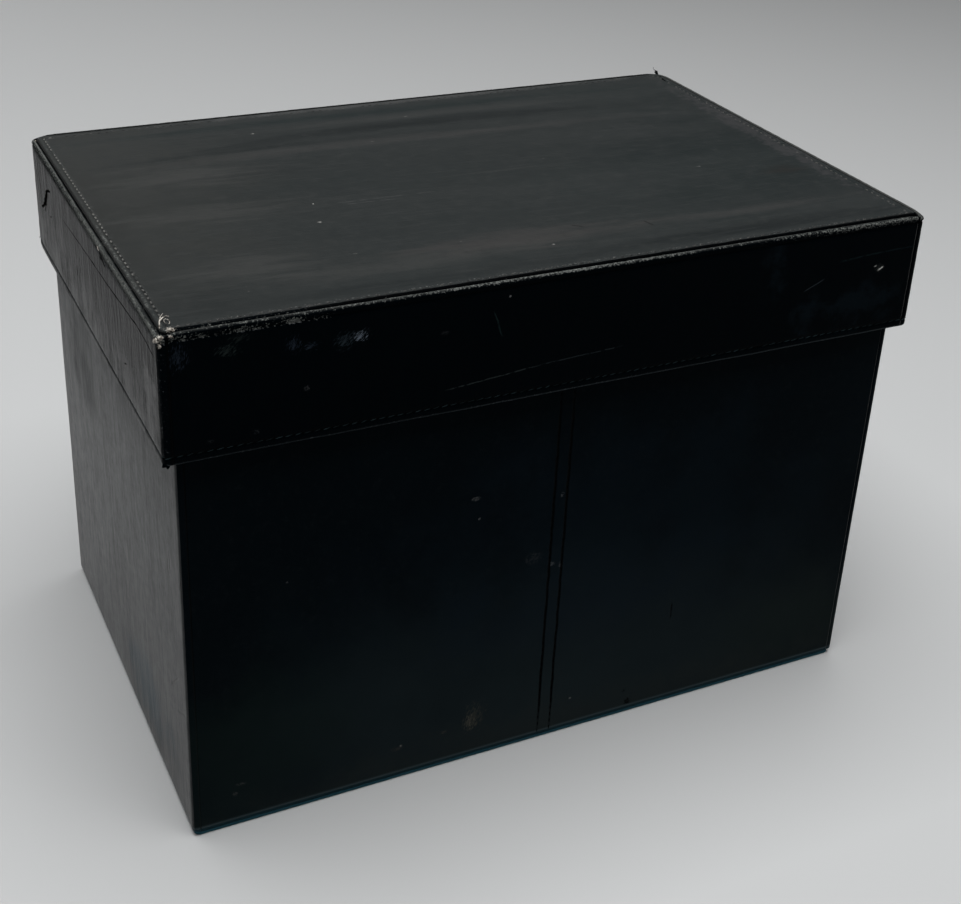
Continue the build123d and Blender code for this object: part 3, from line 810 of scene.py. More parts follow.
def base_finish():
    """Dark teal book cloth under the box, woven, rubbed at its edge, with a dark line at its top where it
    laps, which is also painted shade under the leather's edge, and a painted contact shadow at its foot.
    """
    material, tree, shader, place = finish_of("base cloth", 0.8, 0.05)
    cloth = use(tree, WEAVE, {"Place": place, "Threads per metre": 1500.0})
    colour = mixed(tree, (0.016, 0.062, 0.086), (0.030, 0.098, 0.128), cloth["Tone"])
    half_x, half_y = BODY_HALF[0] - BASE_INSET, BODY_HALF[1] - BASE_INSET
    low = millimetres((-half_x, -half_y, 0.0))
    high = millimetres((half_x, half_y, BASE_TOP))
    rub = use(tree, EDGES, {"Place": place, "Low corner": low, "High corner": high, "Reach": 0.8 * MM,
                            "Ragged": 0.8 * MM})["Mask"]
    colour = mixed(tree, colour, (0.036, 0.125, 0.155), times(tree, rub, 0.5))
    height = parts(tree, place)[2]
    wander = step(tree, "MULTIPLY_ADD", cloud(tree, place, 120.0), 0.5 * MM, -0.25 * MM)
    uneven = plus(tree, height, wander)
    # Painted shade: a dark line at the top, where the cloth laps under the leather's edge, and a painted
    # contact shadow at the foot.
    lap = step(tree, "MAXIMUM", ramp(tree, uneven, 1.85 * MM, 2.1 * MM),
               ramp(tree, uneven, 0.50 * MM, 0.20 * MM))
    colour = mixed(tree, colour, (0.0015, 0.004, 0.006), lap)
    coloured(tree, shader, colour)
    relieved(tree, shader, less(tree, times(tree, cloth["Relief"], 0.12), times(tree, lap, 0.25)))
    return material


BOX_LEATHER = front_leather()
SIDE_LEATHER = side_leather()
FRONT_BAND_LEATHER = front_band_leather()
BAND_LEATHER = side_band_leather()
BACK_BAND_LEATHER = band_leather("lid back leather", 0.06, 0.2).done()
PANEL_LEATHER = panel_leather()
RIM_LEATHER = rim_leather()
TORN_AND_CREASE_SHADE = torn_and_crease_shade_finish()
PALE_THREAD = panel_thread_finish()
BAND_THREAD = thread_finish("band thread", (0.0014, 0.0036, 0.0044), (0.0090, 0.0165, 0.0190), 0.05,
                            0.40, 0.60)
DARK_THREAD = thread_finish("dark thread", (0.0006, 0.0012, 0.0014), (0.0050, 0.0075, 0.0078), 0.08)
SEAM_THREAD = thread_finish("seam thread", (0.0004, 0.0005, 0.0006), (0.0010, 0.0010, 0.0011), 0.0)
FIBRE = fibre_finish("frayed fibre", (0.12, 0.105, 0.09), (0.55, 0.52, 0.47))
RUBBED_FIBRE = fibre_finish("rubbed fibre", (0.03, 0.03, 0.029), (0.20, 0.195, 0.185))
LOOKS = {"black_leather": BOX_LEATHER, "board": board_finish(), "lining_cloth": lining_finish(),
         "base_cloth": base_finish()}
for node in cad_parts.values():
    slot = node.material_slots[0]
    slot.material = LOOKS[slot.material.name]


# ---------------------------------------------------------------- meshes

def piece(name, points, faces, materials, body, replaced=(), amounts=None, slots=None):
    """A finished piece from points in millimetres: merged, closed, facing outwards, riding on its body."""
    mesh = bpy.data.meshes.new(name)
    mesh.from_pydata([millimetres(p) for p in points], [], faces)
    for label, values in (amounts or {}).items():
        layer = mesh.attributes.new(label, "FLOAT", "POINT")
        layer.data.foreach_set("value", values)
    for material in materials:
        mesh.materials.append(material)
    if slots is not None:
        mesh.polygons.foreach_set("material_index", slots)
    shape = bmesh.new()
    shape.from_mesh(mesh)
    bmesh.ops.remove_doubles(shape, verts=shape.verts, dist=1e-7)
    bmesh.ops.recalc_face_normals(shape, faces=shape.faces)
    shape.to_mesh(mesh)
    shape.free()
    mesh.polygons.foreach_set("use_smooth", [True] * len(mesh.polygons))
    made = in_scene(name, mesh)
    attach(made, body)
    if replaced:
        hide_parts(*replaced)


SIDE_FACING = ((0, -1), (1, 0), (0, 1), (-1, 0))
SIDE_RUN = ((1, 0), (0, 1), (-1, 0), (0, -1))


def loop_stations(half, corner, spacing, corner_steps=8, extra=()):
    """Stations (side, share along it, share round the corner after it) round a rectangle with rounded
    corners, against the clock seen from above from the front's left end. Extra ones come as (side,
    distance along it from its middle)."""
    stations = []
    for number in range(4):
        reach = (half[0] if SIDE_RUN[number][0] else half[1]) - corner
        count = max(1, round(2 * reach / spacing))
        shares = [i / count for i in range(count)]
        shares += [0.5 + along / (2 * reach) for side, along in extra if side == number]
        stations += [(number, share, 0.0) for share in sorted(set(shares))]
        stations += [(number, 1.0, i / corner_steps) for i in range(corner_steps)]
    return stations


def loop_point(station, half, corner, inset):
    """Where a station lies on the loop, moved in by inset, with the way it faces."""
    number, share, bend = station
    facing, run = Vector(SIDE_FACING[number]), Vector(SIDE_RUN[number])
    keep = max(corner, inset)
    reach = (half[0] if run.x else half[1]) - keep
    depth = (half[1] if run.x else half[0]) - keep
    angle = bend * math.pi / 2
    out = facing * math.cos(angle) + run * math.sin(angle)
    return run * (2 * share - 1) * reach + facing * depth + out * (keep - inset), out


def stations_between(stations, start, end):
    """The stations from start to end, both kept, going on past the loop's first one where need be."""
    def order(station):
        return station[0] * 2 + station[1] + station[2]

    low, high = order(start), order(end)
    small = 1e-6
    if high > low:
        inner = [s for s in stations if low + small < order(s) < high - small]
    else:
        inner = [s for s in stations if order(s) > low + small]
        inner += [s for s in stations if order(s) < high - small]
    return [start, *inner, end]


def wrap_seams(half, corner, wrap):
    """The four stations where a corner wrap ends on the front and the back, in order."""
    share = (wrap - corner) / (2 * (half[0] - corner))
    return (0, share, 0.0), (0, 1 - share, 0.0), (2, share, 0.0), (2, 1 - share, 0.0)


def rough_at(x, y, z, size, layers=3):
    """Noise about 0 with lumps of a given size in millimetres."""
    return noise.fractal(Vector((x, y, z)) / size, 1.0, 2.0, layers)


def eased(value):
    """0 to 1 with soft ends."""
    value = min(1.0, max(0.0, value))
    return value * value * (3 - 2 * value)


def at_front(y, start=-108.0, reach=6.0):
    """0 inside of start, rising to 1 over the reach in front of it."""
    return eased((start - y) / reach)


def at_left(x, start=-172.0, reach=6.0):
    """0 inside of start, rising to 1 over the reach to the left of it."""
    return eased((start - x) / reach)


def nearness(x, y, centre, spread):
    """1 at a place, falling to 0 round it."""
    return math.exp(-((x - centre[0]) ** 2 + (y - centre[1]) ** 2) / spread)


def mid_front(x):
    """1 at the middle of the front, where hands lift the lid, falling to 0 towards its ends."""
    return math.exp(-((x + 15) / 85) ** 2)


def on_front_or_back(station):
    """Whether a station is on the front or back, with all of the right-hand corners' rounds."""
    number, share, bend = station
    if share == 1.0 and bend > 0 and number < 2:
        return True
    return number == 0 or (number % 2 == 0) == (bend < 0.5)


def skin(name, stations, section, slots, materials, body, replaced, turned=None):
    """A leather skin drawn along its stations from one seam to the next. The section gives, for a station
    and its distance from the nearer seam, its points with their rub, painted shade and pale crest.
    Turned is the slot of the finish that a side's skin takes where it turns onto the front or back."""
    points, rub, painted_shade, crest = [], [], [], []
    places = [Vector(section.flat(station)) for station in stations]
    along = [0.0]
    for before, after in zip(places, places[1:]):
        along.append(along[-1] + (after - before).length)
    for station, run in zip(stations, along):
        for point, worn, shade_amount, line in section.points(station, min(run, along[-1] - run)):
            points.append(point)
            rub.append(worn)
            painted_shade.append(shade_amount)
            crest.append(line)
    count = len(points) // len(stations)
    faces, indices = [], []
    for i in range(len(stations) - 1):
        for j in range(count):
            a, b = i * count + j, i * count + (j + 1) % count
            faces.append((a, b, b + count, a + count))
            wrapped = slots[j] == 0 and turned is not None and on_front_or_back(stations[i])
            indices.append(turned if wrapped else slots[j])
    faces.append(list(range(count)))
    faces.append([(len(stations) - 1) * count + j for j in reversed(range(count))])
    indices += [0, 0]
    amounts = {"rub": rub, "painted_shade": painted_shade, "crest": crest}
    piece(name, points, faces, materials, body, replaced, amounts=amounts, slots=indices)


RIM_FOOT = 248.0
CREST_FOOT = 251.2
CREST_SIDE = 251.6
LEFT_FACE = -178.0
TORN_CORNER = (-178.0, -116.0)
SOFT_CORNER = (-180.0, 118.0)
SEAM_DIP = 0.16
SEAM_DIP_REACH = 0.7
# Within this distance of a seam the leather is painted dark as shade in the seam.
SEAM_DARK = 0.45


def seam_dip(from_seam):
    """How far the leather is turned in beside a butted seam."""
    return SEAM_DIP * max(0.0, 1 - from_seam / SEAM_DIP_REACH) ** 2


class BandSection:
    """The lid's band, from the top of its hem inside, down, round the lower edge, up the face, over the
    rolled rim and in under the panel. Columns: inset, height, lumps, rub, waviness, painted shade, in the
    rim."""

    # The sixth column is painted shade: in the lower stitch channel, under the rolled rim's foot and in the
    # groove beneath the panel's edge.
    low = [
        (HEM_INSET, HEM_TOP, 0, 0, 0, 0, 0), (HEM_FACE - 0.2, HEM_TOP, 0, 0, 0, 0, 0),
        (HEM_FACE, HEM_TOP - 0.4, 0, 0, 0, 0, 0), (HEM_FACE, 202.0, 0, 0, 0, 0, 0),
        (HEM_FACE, 197.4, 0, 0, 0, 0, 0), (4.45, 196.4, 0, 0, 0, 0, 0), (3.9, 195.7, 0, 0, 0, 0, 0),
        (3.0, 195.45, 0, 0, 0, 0, 0), (2.0, 195.4, 0, 0.1, 0, 0, 0), (1.1, 195.5, 0.1, 0.4, 0, 0, 0),
        (0.45, 195.85, 0.2, 0.9, 0, 0, 0), (0.12, 196.3, 0.2, 0.9, 0.3, 0, 0),
        (0.0, 196.9, 0.1, 0.35, 0.6, 0, 0),
        (0.03, 198.1, 0, 0, 0.8, 0, 0), (0.14, 198.7, 0, 0, 0.9, 0.2, 0), (0.32, 199.0, 0, 0, 1, 0.7, 0),
        (0.38, 199.3, 0, 0, 1, 1, 0), (0.32, 199.6, 0, 0, 1, 0.7, 0), (0.14, 199.9, 0, 0, 1, 0.2, 0),
        (0.03, 200.3, 0, 0, 1, 0, 0),
    ]
    face = [(0.0, 201.2 + 2.9 * i, 0, 0, 1, 0, 0) for i in range(16)]
    rim = [
        (0.0, 246.6, 0, 0, 0.7, 0, 0), (0.04, 247.6, 0.1, 0.05, 0.5, 0, 0),
        (0.14, 248.3, 0.3, 0.1, 0.2, 0.1, 1), (0.34, 248.8, 0.6, 0.05, 0, 0.5, 1),
        (0.28, 249.2, 0.9, 0.05, 0, 0.3, 1), (0.0, 249.7, 1, 0.05, 0, 0, 1), (-0.16, 250.2, 1, 0.1, 0, 0, 1),
        (-0.2, 250.75, 1, 0.15, 0, 0, 1), (-0.1, 251.3, 1, 0.5, 0, 0, 1), (0.18, 251.8, 1, 1, 0, 0, 1),
        (0.6, 252.12, 0.8, 1, 0, 0, 1), (1.0, 252.2, 0.8, 0.85, 0, 0, 1),
        (1.35, 252.05, 0.8, 0.45, 0, 0.3, 1),
        (1.65, 251.7, 0.6, 0.1, 0, 0.9, 1), (1.85, 251.3, 0.3, 0, 0, 1, 1), (2.05, 251.0, 0.1, 0, 0, 1, 1),
        (2.9, 250.95, 0, 0, 0, 1, 1), (3.5, 250.95, 0, 0, 0, 1, 0),
        (TURN_IN_REACH, 250.9, 0, 0, 0, 1, 0), (TURN_IN_REACH, BOARD_TOP + 0.02, 0, 0, 0, 0, 0),
        (BOARD_INSET, BOARD_TOP + 0.02, 0, 0, 0, 0, 0), (BOARD_INSET, BOARD_EDGE_LOW - 0.02, 0, 0, 0, 0, 0),
        (HEM_INSET, BOARD_EDGE_LOW - 0.02, 0, 0, 0, 0, 0),
    ]
    table = low + face + rim

    def flat(self, station):
        """Where a station lies on the band's face, seen from above."""
        return loop_point(station, LID_HALF, LID_ROUND, 0.0)[0]

    def slots(self):
        """Which finish each row takes: the band's own, or the rim's."""
        return [row[6] for row in self.table]

    def crest_wear_and_highlight(self, x, y, inset):
        """The pale line along the rim's crest: worn bare at the front, and a painted highlight and sheen on
        the bead at the left, right and back; crisp at the left, dim at the far sides.
        """
        patchy = rough_at(x, y, 3.0, 9.0, 2)
        front = at_front(y) * (0.34 + 0.22 * mid_front(x) + 0.25 * patchy)
        left = at_left(x) * (0.85 + 0.4 * patchy + 0.5 * eased((y - 40) / 70))
        left *= eased((y + 112) / 60 + 0.4) * (1 - 0.22 * eased((20 - y) / 50))
        far = max(0.65 * eased((x - 172) / 6), 0.34 * eased((y - 108) / 6))
        centre, reach = 0.95, 0.95
        if x < -176 and y > -114:
            centre, reach = 0.8, 0.45
        elif x > 172:
            centre, reach = 1.2, 1.0
        return max(front, left, far) * max(0.0, 1 - abs(inset - centre) / reach)

    def wear(self, x, y):
        """How worn the rim is here: most at the front and at its left corner, least at the right."""
        corner = nearness(x, y, TORN_CORNER, 60.0)
        patchy = 0.12 * rough_at(x, y, 77.0, 14.0, 2)
        return 0.42 + (0.06 + 0.36 * mid_front(x)) * at_front(y) + 0.06 * at_left(x) + 0.2 * corner + patchy

    def spill(self, x, y, height):
        """The front's wear running down from the crest, furthest at the two ends."""
        right = 0.95 * eased((x - 50) / 100) * max(0.0, 1 - (251.6 - height) / 3.4) * (height < 251.9)
        ragged = 0.64 + 0.60 * rough_at(x, y, height, 6.0, 3)
        left = ragged * eased((-98 - x) / 28) * eased((height - 246.2) / 2.4) * eased((251.4 - height) / 1.0)
        return at_front(y, -112, 4) * max(right, left)

    def rubbed_groove(self, x, y):
        """How far the front's groove is rubbed grey, most towards its left end."""
        left = (0.55 + 0.5 * rough_at(x, y, 3.0, 9.0, 3)) * eased((-100 - x) / 35)
        return at_front(y, -112, 4) * (0.10 + left)

    def rubbed_left_groove(self, x, y):
        """How far the left groove is rubbed grey, towards the front."""
        return at_left(x, reach=4) * (0.42 + 0.3 * rough_at(x, y, 5.0, 9.0, 3)) * eased((20 - y) / 50)

    def lower_line(self, x, y, height):
        """The rubbed line along the skirt's lower edge at the front, clearest at the right."""
        strength = 0.55 + 0.30 * eased((x + 100) / 80) + 0.25 * eased((x - 40) / 80)
        return at_front(y, -113, 3) * strength * max(0.0, 1 - abs(height - 196.1) / 0.75)

    def points(self, station, from_seam):
        """The section's points here, each with its rub, painted shade and pale crest; painted dark as shade
        right at a seam.
        """
        dip = seam_dip(from_seam)
        corner_near = self.corner_near(station)
        drawn = [self.point(station, row, dip, corner_near) for row in self.table]
        if from_seam > SEAM_DARK:
            return drawn
        return [(spot, worn if spot.z > CREST_FOOT else 0.0, 1.0 - line, line)
                for spot, worn, _, line in drawn]

    def corner_near(self, station):
        """1 at a lid's corner, falling to 0 a little way along its sides."""
        x, y = self.flat(station)
        away = max(LID_HALF[0] - abs(x), LID_HALF[1] - abs(y))
        return math.exp(-((away - 1.0) / 5.0) ** 2)

    def point(self, station, row, dip=0.0, corner_near=0.0):
        """One row's point at a station, with its rub, painted shade and pale line."""
        inset, height, lumpy, _, wavy, _, _ = row
        outer = inset < 1.3 and height < BOARD_TOP
        flat, out = loop_point(station, LID_HALF, LID_ROUND, inset + (dip if outer else 0.0))
        x, y = flat
        lumps = lumpy * (0.15 * rough_at(x, y, height, 1.6, 4) + 0.10 * rough_at(x + 50, y, height, 5.0))
        lumps += corner_near * 0.10 * rough_at(x, y, height, 3.0, 3) * (1.0 if outer else 0.0)
        wave = wavy * 0.10 * rough_at(x, y, height, 42.0, 2)
        sag = 0.18 * rough_at(x, y, 7.0, 38.0, 2) + 0.07 * rough_at(x, y, 0.0, 4.0, 2)
        lift = sag if height < 198.2 and inset < 3 else 0.0
        rise = lumpy * 0.07 * rough_at(x, y + 90, 3.0, 3.5)
        soft = nearness(x, y, SOFT_CORNER, 40.0)
        worn_down = (0.9 * corner_near + 0.6 * soft) * eased((height - 249.0) / 2.5) if inset < 2.5 else 0.0
        spot = flat + out * (min(lumps + wave, 0.25) - 0.6 * soft * min(1.0, max(0.0, 1 - inset / 2.5)))
        worn, shade_amount = self.rub_and_shade(x, y, row, outer, corner_near)
        line = self.pale_line(x, y, inset, height)
        return Vector((spot.x, spot.y, min(height + lift + rise - worn_down, LID_TOP))), worn, shade_amount, line

    def rub_and_shade(self, x, y, row, outer, corner_near):
        """How rubbed one row's point is, and how dark with painted shade."""
        inset, height, _, rub, _, shade_amount, _ = row
        worn = rub * self.wear(x, y) * (1.0 if height > 240 else 0.9)
        if 245.0 < height < PANEL_TOP:
            spilt = self.spill(x, y, height)
            worn = max(worn, spilt)
            shade_amount *= 1 - min(1.0, spilt)
        if inset > 0.9 and height > CREST_SIDE and x < -176:
            worn *= 1 - 0.85 * eased((20 - y) / 50)
        if RIM_FOOT < height < PANEL_TOP and x < LEFT_FACE:
            worn = 0.70 + 0.10 * rub + 0.20 * eased((45 - y) / 60)
        # On the skirt's corner rounds the rub paints small bluish-grey highlights on the lumps, as well as
        # wear.
        if outer and 199.0 < height < RIM_FOOT:
            worn = (0.30 if x < 0 else 0.06) * corner_near ** 2
        if x > 174 and height > CREST_SIDE:
            shade_amount *= 0.25
        if inset > 1.3 and height > BOARD_TOP:
            grey = max(self.rubbed_groove(x, y), self.rubbed_left_groove(x, y))
            shade_amount *= 1 - grey
            worn = max(worn, 0.75 * grey)
        return worn, shade_amount

    def pale_line(self, x, y, inset, height):
        """The pale line on the crest, worn bare and partly a painted highlight, on the rim's left face and
        along the skirt's lower edge.
        """
        if RIM_FOOT < height < 251.7 and x < LEFT_FACE and inset < 1:
            return 0.22 * eased((45 - y) / 60)
        if height > CREST_SIDE:
            return self.crest_wear_and_highlight(x, y, inset)
        return self.lower_line(x, y, height) * (inset < 1)


BAND = BandSection()
BAND_SPACING = 0.9


def lid_bands():
    """The four bands of the lid's skirt; the ends' bands turn onto the front and back."""
    stations = loop_stations(LID_HALF, LID_ROUND, BAND_SPACING)
    seams = wrap_seams(LID_HALF, LID_ROUND, LID_WRAP)
    for side, start, end in (("front", 0, 1), ("right", 1, 2), ("back", 2, 3), ("left", 3, 0)):
        run = stations_between(stations, seams[start], seams[end])
        leather = {"front": FRONT_BAND_LEATHER, "back": BACK_BAND_LEATHER}.get(side, BAND_LEATHER)
        materials = [leather, RIM_LEATHER]
        if leather is BAND_LEATHER:
            materials.append(BACK_BAND_LEATHER)
        skin(f"lid_{side}_band_leather", run, BAND, BAND.slots(), materials, "lid", [f"lid_{side}_band"],
             turned=2 if leather is BAND_LEATHER else None)


class BodySection:
    """A side of the box, from its hem inside the rim, over the rim, down the face and in under the base
    board. Columns: inset, height, waviness, rub."""

    table = [
        (4.42, 231.2, 0, 0), (5.2, 231.2, 0, 0), (5.2, 239.0, 0, 0), (5.2, 246.3, 0, 0.2),
        (5.0, 246.8, 0, 0.3), (4.5, 247.0, 0, 0.3), (2.6, 247.0, 0.2, 0.2), (0.8, 247.0, 0.2, 0.5),
        (0.3, 246.85, 0.2, 0.6), (0.0, 246.4, 0.3, 0.4), (0.0, 245.0, 0.6, 0),
        *[(0.0, 240.0 - 7.0 * i, 1, 0) for i in range(34)],
        (0.0, 5.9, 0.5, 0), (0.0, 5.2, 0.4, 0), (0.0, 4.6, 0.35, 0), (0.0, 3.9, 0.2, 0.1),
        (0.05, 3.2, 0, 0.3), (0.28, 2.7, 0, 0.3), (0.7, 2.45, 0, 0.2), (1.6, BASE_TOP, 0, 0),
        (12.0, BASE_TOP, 0, 0), (12.0, 3.18, 0, 0), (1.38, 3.18, 0, 0), (1.38, 246.22, 0, 0),
        (4.42, 246.22, 0, 0),
    ]

    def flat(self, station):
        """Where a station lies on the box's face, seen from above."""
        return loop_point(station, BODY_HALF, BODY_ROUND, 0.0)[0]

    def points(self, station, from_seam):
        """The section's points here, each with its rub, painted shade and pale foot; painted dark as shade
        right at a seam.
        """
        drawn = [self.point(station, row, seam_dip(from_seam)) for row in self.table]
        if from_seam > SEAM_DARK:
            return drawn
        return [(spot, 0.0, 1.0, 0.0) for spot, *_ in drawn]

    def point(self, station, row, dip=0.0):
        """One row's point at a station, with its rub, no painted shade, and its pale line at the foot."""
        inset, height, wavy, rub = row
        outer = inset < 1.0
        flat, out = loop_point(station, BODY_HALF, BODY_ROUND, inset + (dip if outer else 0.0))
        x, y = flat
        shift = wavy * 0.16 * rough_at(x, y, height, 60.0, 2)
        if station[0] % 2 == 0 and outer:
            along = x if y < 0 else -x
            shift += self.lap(along) * min(1.0, wavy * 2)
        spot = flat + out * min(shift, 0.3)
        strength = 0.35 + 0.65 * at_front(y, reach=3)
        line = strength * max(0.0, 1 - abs(height - 4.5) / 0.9) if inset < 1 else 0.0
        return Vector((spot.x, spot.y, height)), rub, 0.0, line

    def lap(self, along):
        """The thickness of the lap at the middle, and the leather drawn in under its two stitch rows."""
        raised = 0.10 * eased((LAP_HALF + 1.5 - abs(along)) / 3.0)
        drawn = sum(0.12 * max(0.0, 1 - abs(along - row) / 0.9) ** 2 for row in SEAM_ROWS)
        return raised - drawn


BODY = BodySection()
BODY_SPACING = 1.7


def body_skins():
    """The leather on the box's four sides, each in its one or two panels of the same cut."""
    near_rows = [row + off for row in SEAM_ROWS for off in (-0.9, -0.6, -0.3, 0, 0.3, 0.6, 0.9)]
    near_rows += [side * (LAP_HALF + off) for side in (-1, 1) for off in (-0.4, 0, 0.4)]
    near_ends = [side * (BODY_HALF[0] - BODY_WRAP - off) for side in (-1, 1)
                 for off in (-0.9, -0.5, 0.5, 0.9)]
    extra = [(side, along) for side in (0, 2) for along in near_rows + near_ends]
    stations = loop_stations(BODY_HALF, BODY_ROUND, BODY_SPACING, 6, extra)
    seams = wrap_seams(BODY_HALF, BODY_ROUND, BODY_WRAP)
    slots = [0] * len(BODY.table)
    for side, start, end in (("front", 0, 1), ("right", 1, 2), ("back", 2, 3), ("left", 3, 0)):
        run = stations_between(stations, seams[start], seams[end])
        halves = ("left", "right") if start % 2 == 0 else ()
        replaced = [f"{side}_leather_{half}" for half in halves] or [f"{side}_leather"]
        materials = [BOX_LEATHER] if halves else [SIDE_LEATHER, BOX_LEATHER]
        skin(f"box_{side}_skin", run, BODY, slots, materials, "box", replaced, turned=None if halves else 1)


PANEL_SPACING = 1.0
PANEL_CORNER = 5.0
GROOVE_LIMIT = 3.9
PANEL_STEPS = [
    (2.9, 250.9, 0, 0, 1), (2.6, 251.0, 0, 0, 1), (2.55, 251.3, 0.3, 0, 1), (2.62, 251.7, 0.5, 0, 1),
    (2.85, 252.02, 0.6, 0.2, 0.8), (3.2, 252.22, 0.8, 0.45, 0.3), (3.7, 252.34, 1, 0.65, 0.05),
    (4.2, 252.34, 1, 0.65, 0), (4.65, 252.28, 0.9, 0.6, 0), (5.0, 252.12, 0.8, 0.6, 0),
    (5.25, 251.97, 0.6, 0.55, 0), (5.5, 251.86, 0.5, 0.55, 0.05), (5.75, 251.82, 0.5, 0.55, 0.1),
    (6.0, 251.86, 0.5, 0.6, 0.05),
    (6.25, 251.97, 0.6, 0.7, 0), (6.55, 252.02, 0.6, 0.7, 0), (7.0, 252.03, 0.4, 0.6, 0),
    (7.8, 252.02, 0.2, 0.45, 0), (9.0, 252.0, 0, 0.3, 0), (11.0, 252.0, 0, 0.15, 0),
    *[(inset, PANEL_TOP, 0, 0, 0) for inset in (13, 17, 22, 28, 36, 46, 58, 72, 88, 102, 112)],
]


def panel_point(station, inset, height, lumpy, worn, shade_amount):
    """One point of the lid's top leather, with its rub and its painted shade in the groove and the stitch
    holes.
    """
    x, y = loop_point(station, LID_HALF, PANEL_CORNER, inset)[0]
    along = x if station[0] % 2 == 0 else y
    front = 1.0 if station[0] == 0 and station[2] == 0 else 0.0
    # Painted shade darkens the front groove out to this inset, and the holes between the stitches of the
    # left row.
    front_shade_reach = 4.5 + 0.5 * rough_at(x, y, 9.0, 6.0) + 0.8 * eased((x - 110) / 50)
    grey = max(BAND.rubbed_groove(x, y), BAND.rubbed_left_groove(x, y))
    shade_in_panel = max(shade_amount, front * eased((front_shade_reach - inset) / 0.7)) * (1 - grey)
    worn_here = worn * (1 - front * eased((front_shade_reach + 0.9 - inset) / 1.0))
    hole = 0.5 + 0.5 * math.cos(2 * math.pi * along / STITCH_PITCH)
    in_row = max(0.0, 1 - abs(inset - PANEL_ROW_INSET) / 0.9)
    if station[0] == 3:
        gap = 0.5 - 0.5 * math.cos(2 * math.pi * (y + 0.25) / STITCH_PITCH)
        shade_in_panel = max(shade_in_panel, in_row * gap * (0.24 + 0.60 * eased((20 - y) / 60)))
    lumps = lumpy * 0.08 * rough_at(x, y, 0.0, 2.4, 4)
    field = 0.12 * rough_at(x, y, 30.0, 55.0, 2) * min(1.0, max(0.0, (inset - 7) / 30))
    rise = lumps + field - 0.14 * in_row * hole
    rub = worn_here * BAND.wear(x, y) + 0.80 * grey * (inset < 4.5)
    return Vector((x, y, min(height + rise, LID_TOP))), rub, shade_in_panel


def lid_panel():
    """The lid's top leather: a raised edge, the pressed row for its stitches and a gently uneven field."""
    stations = loop_stations(LID_HALF, PANEL_CORNER, PANEL_SPACING)
    count = len(stations)
    drawn = [panel_point(station, *row) for row in PANEL_STEPS for station in stations]
    points, rub, painted_shade = (list(column) for column in zip(*drawn))
    faces, slots = [], []
    for ring in range(len(PANEL_STEPS) - 1):
        for i in range(count):
            j = (i + 1) % count
            a, b = ring * count + i, ring * count + j
            faces.append((a, b, b + count, a + count))
            # The front groove's faces take the rim's finish, which has no sheen, so that they stay dark with
            # painted shade.
            in_groove = stations[i][0] == 0 and PANEL_STEPS[ring + 1][0] < GROOVE_LIMIT
            slots.append(1 if in_groove else 0)
    faces.append([i for i in reversed(range(count))])
    last = (len(PANEL_STEPS) - 1) * count
    faces.append([last + i for i in range(count)])
    piece("lid_top_panel_leather", points, faces, [PANEL_LEATHER, RIM_LEATHER], "lid", ["lid_top_leather"],
          amounts={"rub": rub, "painted_shade": painted_shade, "crest": [0.0] * len(points)}, slots=slots + [0, 0])


TEAR_PROUD = 0.035
TEAR_DEPTH = 0.10
TEAR_STEPS = 10


def left_face_point(y, z):
    """A point on the lid's left face, as its leather waves there."""
    share = 0.5 - y / (2 * (LID_HALF[1] - LID_ROUND))
    return BAND.point((3, share, 0.0), (0.0, z, 0, 0, 1, 0, 0))[0]


def ribbon(name, path, widths, material):
    """A dark ribbon on the lid's left face, following its surface: a tear, and for a crease its painted
    shade. The path is (y, z) points.
    """
    points, faces = [], []
    for i in range((len(path) - 1) * TEAR_STEPS + 1):
        k = min(i // TEAR_STEPS, len(path) - 2)
        t = i / TEAR_STEPS - k
        (y0, z0), (y1, z1) = path[k], path[k + 1]
        y, z = y0 + (y1 - y0) * t, z0 + (z1 - z0) * t
        length = math.hypot(y1 - y0, z1 - z0)
        across = (-(z1 - z0) / length, (y1 - y0) / length)
        half = (widths[k] + (widths[k + 1] - widths[k]) * t) / 2 * (0.75 + 0.6 * rough_at(y, z, 5.0, 2.0))
        sway = 0.25 * rough_at(y, z, 11.0, 5.0)
        for side in (-1, 1):
            off = side * max(half, 0.03) + sway
            point = left_face_point(y + across[0] * off, z + across[1] * off)
            points += [point + Vector((-TEAR_PROUD, 0, 0)), point + Vector((TEAR_DEPTH, 0, 0))]
    for i in range(len(points) // 4 - 1):
        a = 4 * i
        faces += [(a, a + 2, a + 6, a + 4), (a + 1, a + 5, a + 7, a + 3), (a, a + 4, a + 5, a + 1),
                  (a + 2, a + 3, a + 7, a + 6)]
    faces += [(0, 1, 3, 2), (len(points) - 4, len(points) - 2, len(points) - 1, len(points) - 3)]
    piece(name, points, faces, [material], "lid")


